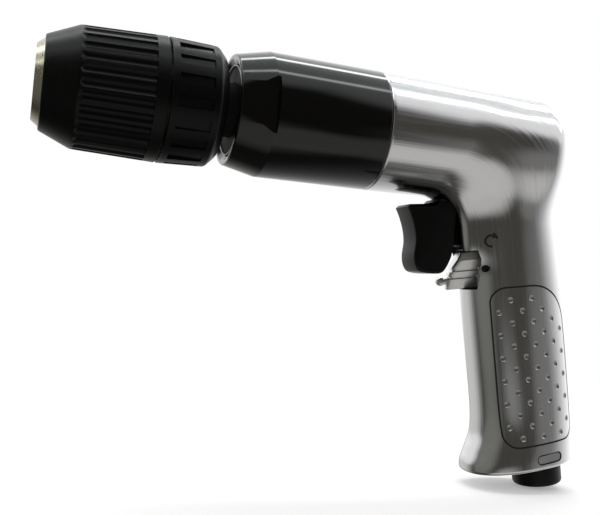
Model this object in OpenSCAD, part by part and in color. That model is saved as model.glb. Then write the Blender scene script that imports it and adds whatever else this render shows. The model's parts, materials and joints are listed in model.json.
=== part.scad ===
/* [Chuck] */
// Largest diameter of the two grip sleeves
sleeve_d = 43; // [42:0.5:45]
// Diameter of the front sleeve at its front edge
sleeve_edge_d = 31.6; // [31:0.2:34]
// Diameter of the front sleeve where its cone ends
sleeve_shoulder_d = 41; // [40:0.5:42]
// Length of the front sleeve's cone
sleeve_cone_len = 10.7; // [8:0.1:11]
// Length of the front sleeve
front_sleeve_len = 39.3; // [38:0.1:44]
// Length of the rear sleeve
rear_sleeve_len = 19.8; // [18:0.1:24]
// Diameter of the rear sleeve where its back chamfer starts
rear_shoulder_d = 41.8; // [40:0.2:43]
// Diameter of the rear sleeve's back face
rear_back_d = 35.6; // [35:0.2:39]
// Length of the rear sleeve's back chamfer
rear_chamfer_len = 3; // [2:0.1:5]
// Dark line between the two sleeves
parting_gap = 0.6; // [0.4:0.1:1]
// Long flutes round the front sleeve
flute_count = 30; // [24:1:36]
// Radius of a flute's round floor
flute_r = 1.9; // [1.5:0.1:2.1]
// Depth of a flute
flute_depth = 0.8; // [0.5:0.1:1]
// Smooth band behind the flutes
flute_band = 4.3; // [3:0.1:7]
// Recessed slots round the rear sleeve
slot_count = 18; // [14:1:20]
// Width of a rear slot
slot_w = 3.9; // [2.5:0.1:4.2]
// Depth of a rear slot
slot_depth = 0.8; // [0.5:0.1:1]
// Smooth band in front of the rear slots
slot_band = 2.4; // [2:0.1:4]
// Diameter of the nose's front face
nose_d = 25.2; // [23:0.2:27]
// Diameter of the nose where it meets the front sleeve
nose_root_d = 29; // [28:0.2:30]
// How far the nose stands out of the front sleeve
nose_len = 2.5; // [2:0.1:4]
// Bore that the largest bit passes
chuck_bore_d = 13.6; // [13.2:0.1:15]
// Diameter of the chuck body behind its nut
chuck_body_d = 33.6; // [33:0.1:34.5]
// Diameter of the chuck body's neck under its nut
chuck_neck_d = 20.8; // [19:0.1:21.2]
// Depth of the chuck's bore from the nose
chuck_bore_depth = 37.5; // [35:0.5:40]
// Depth of the threaded socket for the spindle
socket_depth = 15.6; // [14:0.1:18]
// Length of the fastening screw's shank
screw_len = 15; // [13:0.5:18]
// Diameter of the fastening screw's shank
screw_d = 5.8; // [5:0.1:6.2]
// Diameter of the fastening screw's head
screw_head_d = 8.8; // [8:0.1:11]
// Height of the fastening screw's head
screw_head_h = 3.5; // [3:0.1:5]

/* [Jaws] */
// Diameter of a jaw's round shank
jaw_d = 7; // [6.6:0.1:7.2]
// Angle between a jaw and the chuck's axis, in degrees
jaw_tilt = 18; // [17:0.5:18.5]
// Length of a jaw along the chuck's axis
jaw_len = 24; // [23:0.1:25]
// Distance of a jaw's own axis from the chuck's axis at the nose
jaw_start = 2.4; // [2.3:0.05:2.6]
// Opening between the jaws as drawn
jaw_opening_d = 4; // [3.6:0.1:4.4]
// Largest opening between the jaws
chuck_max_d = 13; // [12:0.1:13]
// Opening between the jaws when they are closed
jaw_closed_d = 1.5; // [1.2:0.1:2]
// Distance from the nose to the nut
nut_setback = 14.6; // [14.2:0.1:15.2]
// Length of the nut
nut_len = 5.6; // [5:0.1:5.6]
// Outer diameter of the nut
nut_d = 34; // [33.8:0.1:34.4]
// Wall of the steel jacket round the nut
jacket_wall = 0.9; // [0.7:0.1:1]
// Saw cut that splits the nut
nut_split = 0.4; // [0.2:0.1:0.8]
// Diameter of a thrust ball
thrust_ball_d = 2.4; // [2:0.1:2.5]
// Thrust balls behind the nut
thrust_ball_count = 24; // [18:1:30]

/* [Gear case] */
// Gap between the chuck and the gear case
case_gap = 3.8; // [3:0.1:5]
// Diameter of the gear case at its front lip
case_front_d = 39; // [38:0.5:40]
// Largest diameter of the gear case
case_d = 44.5; // [44:0.5:46]
// Diameter that the gear case loses from its cone to the joint with the housing
case_draft = 0.5; // [0:0.1:1]
// Wall of the gear case round the ring gear
case_wall = 3; // [2.6:0.1:3.2]
// Length of the gear case's front cone
case_cone_len = 11.9; // [10:0.1:14]
// Length of the gear case
case_len = 53.8; // [52:0.1:60]
// Distance across the two wrench flats
flat_w = 35.4; // [34.5:0.1:38]
// How far the wrench flats run past the cone
flat_run = 1; // [0.5:0.1:3]
// Depth of the dust ring's recess
dust_recess = 2.4; // [2:0.1:4]
// Outer diameter of the dust ring
dust_d = 32; // [31:0.2:33]
// Thickness of the dust ring
dust_t = 1.2; // [0.8:0.1:1.6]
// Outer diameter of a spindle bearing
spindle_bearing_d = 28; // [27:0.1:29]
// Bore of a spindle bearing
spindle_bearing_bore = 15; // [14.6:0.1:15.4]
// Width of a spindle bearing
spindle_bearing_w = 7; // [6.5:0.1:7.5]

/* [Gears] */
// Wall of the ring gear outside its teeth
ring_wall = 1.225; // [1.1:0.025:1.4]
// Teeth on each sun pinion
sun_teeth = 9; // [9]
// Teeth on each planet
planet_teeth = 18; // [18]
// Teeth in the ring gear
ring_teeth = 45; // [45]
// Planets in each stage
planet_count = 3; // [3]
// Face width of a second-stage planet
planet_2_w = 8.6; // [8:0.1:9.5]
// Face width of a first-stage planet
planet_1_w = 7; // [6:0.1:8]
// Diameter of a planet's pin
planet_pin_d = 4; // [3.5:0.1:5]
// Room between a carrier disc and the ring gear's teeth
carrier_room = 0.7; // [0.4:0.1:1.6]
// Thickness of the second-stage carrier disc
carrier_2_t = 4; // [3.5:0.1:5]
// Thickness of the first-stage carrier disc
carrier_1_t = 3.8; // [3.5:0.1:5]
// Thickness of the washer behind the gears
gear_washer_t = 1.4; // [1:0.1:2]

/* [Spindle] */
// Diameter of the spindle's threaded nose
spindle_nose_d = 9.5; // [9:0.1:10]
// Diameter of the collar between the chuck and the gear case
spindle_collar_d = 19; // [18:0.1:20]

/* [Motor] */
// Wall of the housing round the motor, at the joint
barrel_wall = 5; // [4.5:0.1:5.5]
// Length of the cylinder
cylinder_len = 44; // [42:0.1:46]
// Mean wall of the cylinder
cylinder_wall = 3; // [2.8:0.1:3.1]
// Offset of the cylinder's bore above the rotor's axis
cylinder_offset = 1.6; // [1.5:0.05:1.8]
// Least gap between the rotor and the cylinder
rotor_gap = 0.4; // [0.3:0.1:0.6]
// Vanes in the rotor
vane_count = 5; // [4:1:6]
// Thickness of a vane
vane_t = 2; // [1.6:0.1:2.6]
// Depth of a vane's slot in the rotor
vane_slot_depth = 6; // [5:0.1:6.4]
// Thickness of an end plate
end_plate_t = 7.2; // [7:0.1:9]
// Outer diameter of a rotor bearing
rotor_bearing_d = 20; // [19:0.1:22]
// Bore of a rotor bearing
rotor_bearing_bore = 9; // [8.8:0.1:9.6]
// Width of a rotor bearing
rotor_bearing_w = 6; // [5.5:0.1:6.5]
// Thickness of the spring washer behind the motor
motor_washer_t = 1.6; // [1:0.1:2.5]
// Diameter of the dowel through the motor
dowel_d = 2.4; // [2:0.1:2.6]
// Wall outside the dowel
dowel_rim = 0.7; // [0.5:0.1:0.9]

/* [Housing] */
// Length of the housing's barrel behind the joint
barrel_len = 75; // [74:0.5:82]
// Diameter that the barrel loses over its length
barrel_draft = 2.6; // [0:0.1:3]
// Corner radius round the barrel's back end
back_round = 7; // [4:0.5:10]
// Distance from the joint to the handle's centre line, along the barrel's axis
grip_offset = 55.8; // [54:0.1:57]
// Lean of the handle, in degrees
lean = 10.1; // [9:0.1:11.5]
// Length of the handle from the barrel's axis to the foot
handle_len = 123; // [118:0.5:135]
// Depth of the handle from front to back
grip_depth = 40; // [39:0.5:43]
// Width of the handle
grip_width = 31; // [30:0.5:34]
// Blend between the barrel and the handle
blend_r = 12; // [8:0.5:14]
// Chamfer round the foot's lower edge
foot_edge = 1.4; // [0.8:0.1:2]

/* [Throttle] */
// Height of the throttle's axis below the barrel's axis
throttle_drop = 33; // [32.8:0.1:33.2]
// Width of the trigger
trigger_w = 12; // [10:0.1:13]
// Length of the trigger from its tip to its back
trigger_len = 30.5; // [30:0.1:31]
// Height of the trigger
trigger_h = 25; // [24:0.1:25.5]
// Height of the trigger's shank
shank_h = 14; // [13:0.1:14.2]
// Distance of the shank's back end in front of the handle's centre line
shank_setback = 9.3; // [9:0.1:9.6]
// Travel of the trigger
trigger_travel = 5; // [4:0.1:5.2]
// Diameter of the throttle stem
stem_d = 3; // [2.6:0.1:3.4]
// Diameter of the throttle bushing
throttle_bush_d = 11; // [10.4:0.1:11.2]
// Length of the throttle bushing
throttle_bush_len = 9; // [8:0.1:9.4]
// Diameter of the throttle valve's head
valve_head_d = 8; // [7:0.1:8.6]
// Thickness of the throttle valve's head
valve_head_t = 3; // [2.5:0.1:3.5]
// Outside diameter of the throttle spring
spring_d = 6.4; // [6:0.1:7.6]
// Wire of the throttle spring
spring_wire = 0.8; // [0.6:0.1:1]
// Length of the throttle spring at rest
spring_len = 11; // [10.5:0.1:11.4]
// Turns of the throttle spring
spring_turns = 6; // [4:0.5:6.5]

/* [Reverse lever] */
// Height of the lever along the handle
lever_h = 12.2; // [11:0.1:12.6]
// Distance from the barrel's axis to the lever's top, along the handle
lever_top = 40.6; // [40.4:0.1:41.5]
// Distance of the lever's axis in front of the handle's centre line
lever_forward = 8; // [7.8:0.1:8.4]
// Diameter of the lever's hub
lever_hub_d = 14; // [13.6:0.1:15]
// Width of the lever across its ribbed cheeks
lever_w = 12.4; // [11.6:0.1:13]
// Reach of the ribbed cheeks from the lever's axis
lever_reach = 12; // [11.4:0.1:12.3]
// Reach of the finger tab from the lever's axis
tab_reach = 18.6; // [16:0.1:19]
// Width of the finger tab
tab_w = 5; // [4:0.1:6]
// Thickness of the finger tab
tab_t = 2.2; // [1.8:0.1:2.6]
// Diameter of the bead at the end of the finger tab
bead_d = 3.6; // [3:0.1:4]
// Swing of the lever to either side, in degrees
lever_swing = 20; // [15:1:22]
// Diameter of the reversing valve
reverse_valve_d = 9; // [8:0.1:9.4]
// Length of the reversing valve below the lever
reverse_valve_len = 19; // [15:0.5:24]
// Diameter of the reversing valve's stem inside the lever
reverse_stem_d = 6; // [5:0.1:7]
// Diameter of the two pins that stop the lever's swing
stop_pin_d = 3; // [2.6:0.1:3.2]

/* [Inlet and exhaust] */
// Outer diameter of the inlet bushing's collar
inlet_collar_d = 19; // [18:0.1:20]
// Length of the inlet bushing's collar below the foot
inlet_collar_len = 9; // [8:0.1:12]
// Diameter of the inlet bushing's thread in the housing
inlet_thread_d = 16; // [15.2:0.1:16.6]
// Length of the inlet bushing's thread in the housing
inlet_thread_len = 15; // [12:0.1:18]
// Bore of the inlet's own female thread
inlet_bore_d = 11.4; // [11:0.1:12]
// Depth of the inlet's own female thread
inlet_bore_depth = 14; // [12:0.1:16]
// Diameter of the air passage in the handle
passage_d = 13; // [12:0.1:13.4]
// Distance of the air passage behind the handle's centre line
passage_back = 4.7; // [4.4:0.1:5.2]
// Wall of the inlet screen
screen_wall = 0.8; // [0.5:0.1:1.2]
// Length of the inlet screen
screen_len = 16; // [12:0.5:20]
// Diameter of the exhaust passage in the handle
exhaust_d = 10; // [9:0.1:10.4]
// Distance of the exhaust passage in front of the handle's centre line
exhaust_forward = 11; // [10.5:0.1:11.5]
// Length of the muffler
muffler_len = 30; // [20:0.5:34]
// Bore of the muffler
muffler_bore_d = 4; // [3:0.1:6]
// Thickness of the exhaust screen
exhaust_screen_t = 2; // [1.5:0.1:3]

/* [Hidden] */
// Radial clearance of a running fit
run_gap = 0.05;
// Radial clearance of a fixed fit
seat_gap = 0.05;
// Clearance between pieces that slide or turn past each other
free_gap = 0.3;
// Overrun of every cut
over = 2;
// Sides of a fine curve that is worked out in points
fine = 64;

// Stations along the barrel's axis, counted from the nose
x_edge = nose_len;
x_shoulder = x_edge + sleeve_cone_len;
x_part = x_edge + front_sleeve_len;
x_chuck_back = x_part + rear_sleeve_len;
x_nut = nut_setback;
x_nut_back = x_nut + nut_len;
x_body_step = x_nut_back + thrust_ball_d + 2 * seat_gap;
x_socket = x_chuck_back - socket_depth;
x_case = x_chuck_back + case_gap;
x_case_full = x_case + case_cone_len;
x_joint = x_case + case_len;
x_back = x_joint + barrel_len;
x_bearing_1 = x_case + dust_recess + free_gap;
x_bearing_2 = x_bearing_1 + spindle_bearing_w + free_gap;
x_carrier_2 = x_bearing_2 + spindle_bearing_w + free_gap;
x_planet_2 = x_carrier_2 + carrier_2_t + free_gap;
x_carrier_1 = x_planet_2 + planet_2_w + free_gap;
x_planet_1 = x_carrier_1 + carrier_1_t + free_gap;
x_gears_end = x_planet_1 + planet_1_w + free_gap;
x_motor = x_gears_end + gear_washer_t;
x_cylinder = x_motor + end_plate_t;
x_cylinder_back = x_cylinder + cylinder_len;
x_plate_back = x_cylinder_back + end_plate_t;
x_motor_back = x_plate_back + motor_washer_t;
x_bearing_3 = x_motor;
x_bearing_4 = x_plate_back - rotor_bearing_w;
grip_x = x_joint + grip_offset;

// Radii that several pieces share
body_r = chuck_body_d / 2;
neck_r = chuck_neck_d / 2;
jacket_r = nut_d / 2 + jacket_wall;
case_back_d = case_d - case_draft;
ring_seat_d = case_back_d - 2 * case_wall;
barrel_front_r = case_back_d / 2;
spigot_r = ring_seat_d / 2 - seat_gap;
motor_bore_d = case_back_d - 2 * barrel_wall;
cylinder_bore_d = motor_bore_d - 2 * cylinder_wall;
rotor_d = cylinder_bore_d - 2 * (cylinder_offset + rotor_gap);
vane_floor_r = rotor_d / 2 - vane_slot_depth;

// A jaw's cylinder cut across the chuck's axis
jaw_count = 3;
jaw_half = jaw_d / 2 / cos(jaw_tilt);
jaw_rise_share = tan(jaw_tilt);
function jaw_outer(x) = jaw_start + jaw_half + x * jaw_rise_share;
jaw_close = (jaw_opening_d - jaw_closed_d) / 2;
jaw_open = (chuck_max_d - jaw_opening_d) / 2;
x_jaw_open = jaw_len + jaw_open / jaw_rise_share;
jaw_flank_gap = 0.12;
jaw_tooth = 1.2;
jaw_tooth_depth = 0.5;
jaw_tooth_start_share = 0.4;
sleeve_room_r = jaw_outer(x_jaw_open) + free_gap;

// Sizes of the gear teeth as shares of the module and of the tooth pitch
addendum_share = 0.9;
dedendum_share = 1.2;
root_share = 0.56;
pitch_share = 0.42;
tip_share = 0.22;
tooth_module = (ring_seat_d / 2 - ring_wall) / (ring_teeth / 2 + dedendum_share);
ring_tip_r = (ring_teeth / 2 - addendum_share) * tooth_module;
carrier_d = 2 * (ring_tip_r - carrier_room);
planet_orbit = (sun_teeth + planet_teeth) * tooth_module / 2;

// Balls of a bearing: their size and the gap between the races, as shares of half the wall
bearing_ball_count = 9;
bearing_fill_share = 0.58;
bearing_gap_share = 0.38;

// Exhaust ports low on both sides of the motor's cylinder
port_d = 4.4;
port_turn = 42;
port_count = 4;

// Outline of the handle at stations along it, as shares of its length, half depth and half width
grip_station_shares = [-0.1, 0.08, 0.2, 0.34, 0.48, 0.66, 0.82, 0.885, 0.935, 0.97, 1.0];
grip_front_shares = [0.92, 0.92, 0.94, 0.98, 1.0, 1.0, 1.01, 1.07, 1.22, 1.33, 1.36];
grip_back_shares = [0.94, 0.92, 0.9, 0.95, 0.99, 1.0, 0.97, 0.95, 0.93, 0.91, 0.9];
grip_width_shares = [1.05, 1.05, 1.03, 1.0, 1.0, 1.0, 1.0, 1.01, 1.04, 1.06, 1.06];
// Power of the handle's rounded section
grip_power_share = 2.3;
// Start of the handle above the barrel's axis
grip_cap = 4;
// The section planes fan round a line in the corner between the barrel and the handle
pivot_forward = 27;
pivot_drop = 30;
// Rows and rays of the housing's skin
barrel_rows = 4;
fan_rows = 20;
grip_rows = 26;
skin_rays = 48;
// Steps of the search along each ray
ray_steps = 22;

// Trigger outline from its tip, as shares of its length and height
trigger_front_shares = [[0, -0.04], [0.06, -0.18], [0.115, -0.36], [0.14, -0.54], [0.13, -0.74],
    [0.15, -0.88]];
trigger_foot_shares = [[0.2, -0.97], [0.28, -1], [0.44, -1], [0.53, -0.97]];
trigger_heel_shares = [[0.585, -0.84], [0.63, -0.7]];
trigger_brow_shares = [[0.03, 0]];
trigger_neck_share = 0.68;
trigger_round = 1.6;
trigger_round_steps = 4;
// Least share of a corner's squared cosine that an inset divides by
corner_limit_share = 0.25;
stem_seat = 8;

// Places on the handle
foot_t = handle_len;
trigger_top = throttle_drop - shank_h / 2;
x_shank_back = grip_x - shank_setback;
x_tip = x_shank_back - trigger_len;
x_pocket = x_shank_back + trigger_travel + free_gap;
x_bush_back = x_pocket + throttle_bush_len;
x_head = x_bush_back + free_gap;
x_spring = x_head + valve_head_t;
x_spring_back = x_spring + spring_len;
curl_rings = 8;
wire_sides = 6;
slot_depth_back = 4.2;
lever_room = 0.4;
lever_bottom = lever_top + lever_h;
lever_pocket = lever_reach * sin(lever_swing) + lever_w / 2 * cos(lever_swing);
lever_scoop_r = 6.4;
lever_scoop_forward = 3.4;
lever_scoop_share = 0.92;
rib_depth = 0.7;
rib_gap = 1;
rib_start = 2.4;
rib_shares = [0.14, 0.32, 0.5, 0.7];
tab_rise = 1.2;
stop_pin_back = 4.4;
stop_pin_inset = 0.6;
stop_pin_q = -grip_depth / 2 + slot_depth_back + stop_pin_back;
stop_pin_t = (lever_top + lever_bottom) / 2;
screen_hole_d = 1.6;
screen_hole_ring = 3;
screen_hole_count = 6;
exhaust_rise = 40;
passage_top = 30;
inlet_chamfer = 1.2;
inlet_seal_d = 1.2;
inlet_throat_d = 8;
screen_slots = 6;
screen_slot_w = 1.2;

// Turns a shape drawn along Z so that it runs along the barrel's axis
module along_x(x = 0) {
    translate([x, 0, 0]) rotate([0, 90, 0]) children();
}

// Solid of revolution about the barrel's axis, from points of radius and station
module turned(points) {
    along_x() rotate_extrude($fn = fine) polygon(points);
}

// Round bar about the barrel's axis between two stations
module bar(x_0, x_1, r) {
    along_x(x_0) cylinder(h = x_1 - x_0, r = r, $fn = fine);
}

// Ring about the barrel's axis between two stations
module ring(x_0, x_1, r_out, r_in) {
    difference() {
        bar(x_0, x_1, r_out);
        bar(x_0 - over, x_1 + over, r_in);
    }
}

// Handle's own frame: X runs back across it, Z runs up along it, from the barrel's axis
module on_grip() {
    translate([grip_x, 0, 0]) rotate([0, -lean, 0]) children();
}

// Round bar along the handle between two distances from the barrel's axis
module grip_bar(q, t_0, t_1, r) {
    translate([q, 0, -t_1]) cylinder(h = t_1 - t_0, r = r, $fn = fine);
}

// Tooth outline of a gear: three radii and the share of a pitch that is filled at each
function toothed(teeth, radii, fills) = [
    for (i = [0 : teeth - 1])
        for (k = [0 : 5])
            let (level = k < 3 ? k : 5 - k)
            let (side = k < 3 ? -1 : 1)
            let (turn = (360 * i + side * 180 * fills[level]) / teeth)
            radii[level] * [cos(turn), sin(turn)]
];

function pitch_r(teeth) = teeth * tooth_module / 2;

// Outline of a gear whose teeth point outwards
function gear_outline(teeth) = toothed(
    teeth,
    [pitch_r(teeth) - dedendum_share * tooth_module,
        pitch_r(teeth),
        pitch_r(teeth) + addendum_share * tooth_module],
    [root_share, pitch_share, tip_share]);

// Outline of the hole in a ring gear whose teeth point inwards
function ring_outline(teeth) = toothed(
    teeth,
    [pitch_r(teeth) - addendum_share * tooth_module,
        pitch_r(teeth),
        pitch_r(teeth) + dedendum_share * tooth_module],
    [1 - tip_share, 1 - pitch_share, 1 - root_share]);

// Gear along the barrel's axis; phase turns a tooth away from the first planet's direction
module gear(x_0, width, teeth, phase) {
    along_x(x_0) rotate([0, 0, phase]) linear_extrude(height = width) polygon(gear_outline(teeth));
}

module planet(x_0, width, place) {
    along_x(x_0) rotate([0, 0, 360 * place / planet_count]) translate([planet_orbit, 0, 0]) difference() {
        linear_extrude(height = width) polygon(gear_outline(planet_teeth));
        translate([0, 0, -over]) cylinder(h = width + 2 * over, d = planet_pin_d + 2 * run_gap, $fn = fine);
    }
}

module planet_pins(x_0, length, d) {
    for (i = [0 : planet_count - 1])
        along_x(x_0) rotate([0, 0, 360 * i / planet_count]) translate([planet_orbit, 0, 0])
            cylinder(h = length, d = d, $fn = fine);
}

// Ball bearing at a station: its balls run at half of the wall, on grooves in both races
function ball_orbit(d, bore) = (d + bore) / 4;
function ball_r(d, bore) = (d - bore) / 4 * bearing_fill_share;

module bearing_race(x, w, d, bore, outer) {
    orbit = ball_orbit(d, bore);
    half_gap = (d - bore) / 4 * bearing_gap_share;
    along_x(x) rotate_extrude($fn = fine) difference() {
        if (outer)
            translate([orbit + half_gap, 0]) square([d / 2 - seat_gap - orbit - half_gap, w]);
        else
            translate([bore / 2 + seat_gap, 0]) square([orbit - half_gap - bore / 2 - seat_gap, w]);
        translate([orbit, w / 2]) circle(r = ball_r(d, bore) + run_gap, $fn = fine);
    }
}

module bearing_balls(x, w, d, bore, count) {
    for (i = [0 : count - 1])
        along_x(x + w / 2) rotate([0, 0, 360 * i / count]) translate([ball_orbit(d, bore), 0, 0])
            sphere(r = ball_r(d, bore), $fn = fine);
}

// Value of a table of shares at a place, on a smooth curve through its points
function table_slope(xs, ys, i) =
    i == 0 ? (ys[1] - ys[0]) / (xs[1] - xs[0]) :
    i == len(xs) - 1 ? (ys[i] - ys[i - 1]) / (xs[i] - xs[i - 1]) :
    (ys[i + 1] - ys[i - 1]) / (xs[i + 1] - xs[i - 1]);
function table_span(xs, x, i) = i >= len(xs) - 2 || x < xs[i + 1] ? i : table_span(xs, x, i + 1);
function table_value(xs, ys, x) =
    let (i = table_span(xs, x, 0))
    let (step = xs[i + 1] - xs[i])
    let (u = min(max((x - xs[i]) / step, 0), 1))
    let (rise = ys[i + 1] - ys[i])
    let (m_0 = table_slope(xs, ys, i) * step)
    let (m_1 = table_slope(xs, ys, i + 1) * step)
    ys[i] + u * m_0 + u * u * (3 * rise - 2 * m_0 - m_1) + u * u * u * (m_0 + m_1 - 2 * rise);

// Distance outside the barrel: a drafted cylinder with a rounded back end
function barrel_reach(p) =
    let (draft_r = barrel_front_r - barrel_draft / 2 * (p[0] - x_joint) / barrel_len)
    let (past = p[0] - (x_back - back_round))
    let (out = norm([p[1], p[2]]) - (draft_r - back_round))
    norm([max(past, 0), max(out, 0)]) + min(max(past, out), 0) - back_round;

// Distance outside the handle: a leaning rounded section that follows the tables
function grip_reach(p) =
    let (t = (p[0] - grip_x) * sin(lean) - p[2] * cos(lean))
    let (q = (p[0] - grip_x) * cos(lean) + p[2] * sin(lean))
    let (front = grip_depth / 2 * table_value(grip_station_shares, grip_front_shares, t / handle_len))
    let (back = grip_depth / 2 * table_value(grip_station_shares, grip_back_shares, t / handle_len))
    let (wide = grip_width / 2 * table_value(grip_station_shares, grip_width_shares, t / handle_len))
    let (deep = (front + back) / 2)
    let (off = abs(q - (back - front) / 2) / deep)
    let (n = grip_power_share)
    max((pow(pow(off, n) + pow(abs(p[1]) / wide, n), 1 / n) - 1) * min(deep, wide), -t - grip_cap);

// Barrel and handle run into each other with a hollow fillet
function blended(a, b) =
    let (near = max(blend_r - abs(a - b), 0) / blend_r)
    min(a, b) - near * near * blend_r / 4;
function skin_reach(p) = blended(barrel_reach(p), grip_reach(p));

// Distance along a ray from inside the housing to its skin, by halving
function ray_to_skin(from, way, low, high, steps) =
    steps == 0 ? (low + high) / 2 :
    let (mid = (low + high) / 2)
    skin_reach(from + mid * way) < 0 ? ray_to_skin(from, way, mid, high, steps - 1) :
    ray_to_skin(from, way, low, mid, steps - 1);

// Section planes of the skin: a start point, the direction away from the fan's line, and an inset
pivot = [grip_x - pivot_forward, 0, -pivot_drop];
pivot_t = -pivot_forward * sin(lean) + pivot_drop * cos(lean);
function on_grip_line(t) = [grip_x + t * sin(lean), 0, -t * cos(lean)];
pivot_reach = norm(on_grip_line(pivot_t) - pivot);
function skin_planes() = concat(
    [for (i = [0 : barrel_rows - 1])
        [[x_joint + (pivot[0] - x_joint) * i / barrel_rows, 0, 0], [0, 0, 1], 0]],
    [for (i = [0 : fan_rows - 1])
        let (turn = (90 - lean) * i / fan_rows)
        let (away = [sin(turn), 0, cos(turn)])
        [pivot + (pivot_drop + (pivot_reach - pivot_drop) * i / fan_rows) * away, away, 0]],
    [for (i = [0 : grip_rows])
        let (t = pivot_t + (handle_len - foot_edge - pivot_t) * sin(90 * i / grip_rows))
        [on_grip_line(t), [cos(lean), 0, sin(lean)], 0]],
    [[on_grip_line(handle_len), [cos(lean), 0, sin(lean)], foot_edge]]);

// Outer skin of the housing as one closed form
module housing_skin() {
    planes = skin_planes();
    rows = len(planes);
    reach = barrel_len;
    points = [
        for (plane = planes)
            for (j = [0 : skin_rays - 1])
                let (turn = 360 * j / skin_rays)
                let (way = cos(turn) * plane[1] + sin(turn) * [0, 1, 0])
                plane[0] + (ray_to_skin(plane[0], way, 0, reach, ray_steps) - plane[2]) * way
    ];
    sides = [
        for (i = [0 : rows - 2])
            for (j = [0 : skin_rays - 1])
                let (k = (j + 1) % skin_rays)
                for (half = [0, 1])
                    half == 0 ?
                    [i * skin_rays + j, i * skin_rays + k, (i + 1) * skin_rays + k] :
                    [i * skin_rays + j, (i + 1) * skin_rays + k, (i + 1) * skin_rays + j]
    ];
    ends = [
        [for (j = [0 : skin_rays - 1]) skin_rays - 1 - j],
        [for (j = [0 : skin_rays - 1]) (rows - 1) * skin_rays + j]
    ];
    polyhedron(points = points, faces = concat(sides, ends));
}

// Window at the front of the handle in which the reversing lever swings
module lever_slot() {
    low = lever_bottom + lever_room;
    high = lever_top - lever_room;
    translate([-grip_depth / 2 + slot_depth_back - grip_depth, -grip_width, -low])
        cube([grip_depth, 2 * grip_width, low - high]);
    grip_bar(-lever_forward, high, low, lever_hub_d / 2 + lever_room);
    intersection() {
        grip_bar(-lever_forward, high, low, lever_reach + lever_room);
        translate([-lever_forward - grip_depth, -lever_pocket, -low])
            cube([grip_depth, 2 * lever_pocket, low - high]);
    }
}

module housing() {
    color("silver") difference() {
        union() {
            housing_skin();
            bar(x_motor, x_joint + over, spigot_r);
        }
        bar(x_motor - over, x_motor_back, motor_bore_d / 2);
        translate([0, 0, -throttle_drop]) {
            translate([x_pocket - grip_depth, -trigger_w / 2 - free_gap, -shank_h / 2 - free_gap])
                cube([grip_depth, trigger_w + 2 * free_gap, shank_h + 2 * free_gap]);
            bar(x_pocket - over, x_bush_back, throttle_bush_d / 2);
            bar(x_bush_back - over, x_spring_back, valve_head_d / 2 + free_gap);
        }
        on_grip() {
            lever_slot();
            grip_bar(-lever_forward, lever_bottom, lever_bottom + reverse_valve_len + free_gap,
                reverse_valve_d / 2 + run_gap);
            grip_bar(passage_back, passage_top, foot_t + over, passage_d / 2);
            grip_bar(passage_back, foot_t - inlet_thread_len, foot_t + over, inlet_thread_d / 2);
            grip_bar(-exhaust_forward, foot_t - exhaust_rise, foot_t + over, exhaust_d / 2);
            stop_pin_bar(0, grip_width, stop_pin_d / 2);
        }
    }
}

// Bar across the handle behind the lever's window, the same on both sides
module stop_pin_bar(y_0, y_1, r) {
    for (side = [-1, 1])
        translate([stop_pin_q, 0, -stop_pin_t]) rotate([-side * 90, 0, 0])
            translate([0, 0, y_0]) cylinder(h = y_1 - y_0, r = r, $fn = fine);
}

module gear_case() {
    lip = (case_front_d - dust_d) / 8;
    color("#191919") difference() {
        turned([
            [dust_d / 2, x_case],
            [case_front_d / 2 - lip, x_case],
            [case_front_d / 2, x_case + lip],
            [case_d / 2, x_case_full],
            [case_back_d / 2, x_joint],
            [ring_seat_d / 2, x_joint],
            [ring_seat_d / 2, x_planet_2 - free_gap],
            [carrier_d / 2 + free_gap, x_planet_2 - free_gap],
            [carrier_d / 2 + free_gap, x_carrier_2 - free_gap],
            [spindle_bearing_d / 2, x_carrier_2 - free_gap],
            [spindle_bearing_d / 2, x_case + dust_recess],
            [dust_d / 2, x_case + dust_recess]
        ]);
        for (side = [-1, 1])
            translate([x_case - over, side * (flat_w + case_d) / 2 - case_d / 2, -case_d])
                cube([case_cone_len + flat_run + over, case_d, 2 * case_d]);
    }
}

module ring_gear() {
    color("dimgray") along_x(x_planet_2 - free_gap) difference() {
        cylinder(h = x_gears_end - x_planet_2 + free_gap, d = ring_seat_d - 2 * seat_gap, $fn = fine);
        translate([0, 0, -over]) linear_extrude(height = x_gears_end - x_planet_2 + free_gap + 2 * over)
            polygon(ring_outline(ring_teeth));
    }
}

module gear_washer() {
    shaft_r = rotor_bearing_bore / 2 + free_gap;
    color("gray") ring(x_gears_end, x_motor, spigot_r, shaft_r);
}

module dust_ring() {
    x = x_case + dust_recess - dust_t;
    color("silver") ring(x, x + dust_t, dust_d / 2 - seat_gap, spindle_collar_d / 2 + free_gap);
}

module spindle_bearing_outer_races() {
    color("silver") for (x = [x_bearing_1, x_bearing_2])
        bearing_race(x, spindle_bearing_w, spindle_bearing_d, spindle_bearing_bore, true);
}

module spindle_bearing_inner_races() {
    color("silver") for (x = [x_bearing_1, x_bearing_2])
        bearing_race(x, spindle_bearing_w, spindle_bearing_d, spindle_bearing_bore, false);
}

module spindle_bearing_balls() {
    color("white") for (x = [x_bearing_1, x_bearing_2])
        bearing_balls(x, spindle_bearing_w, spindle_bearing_d, spindle_bearing_bore, bearing_ball_count);
}

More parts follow.
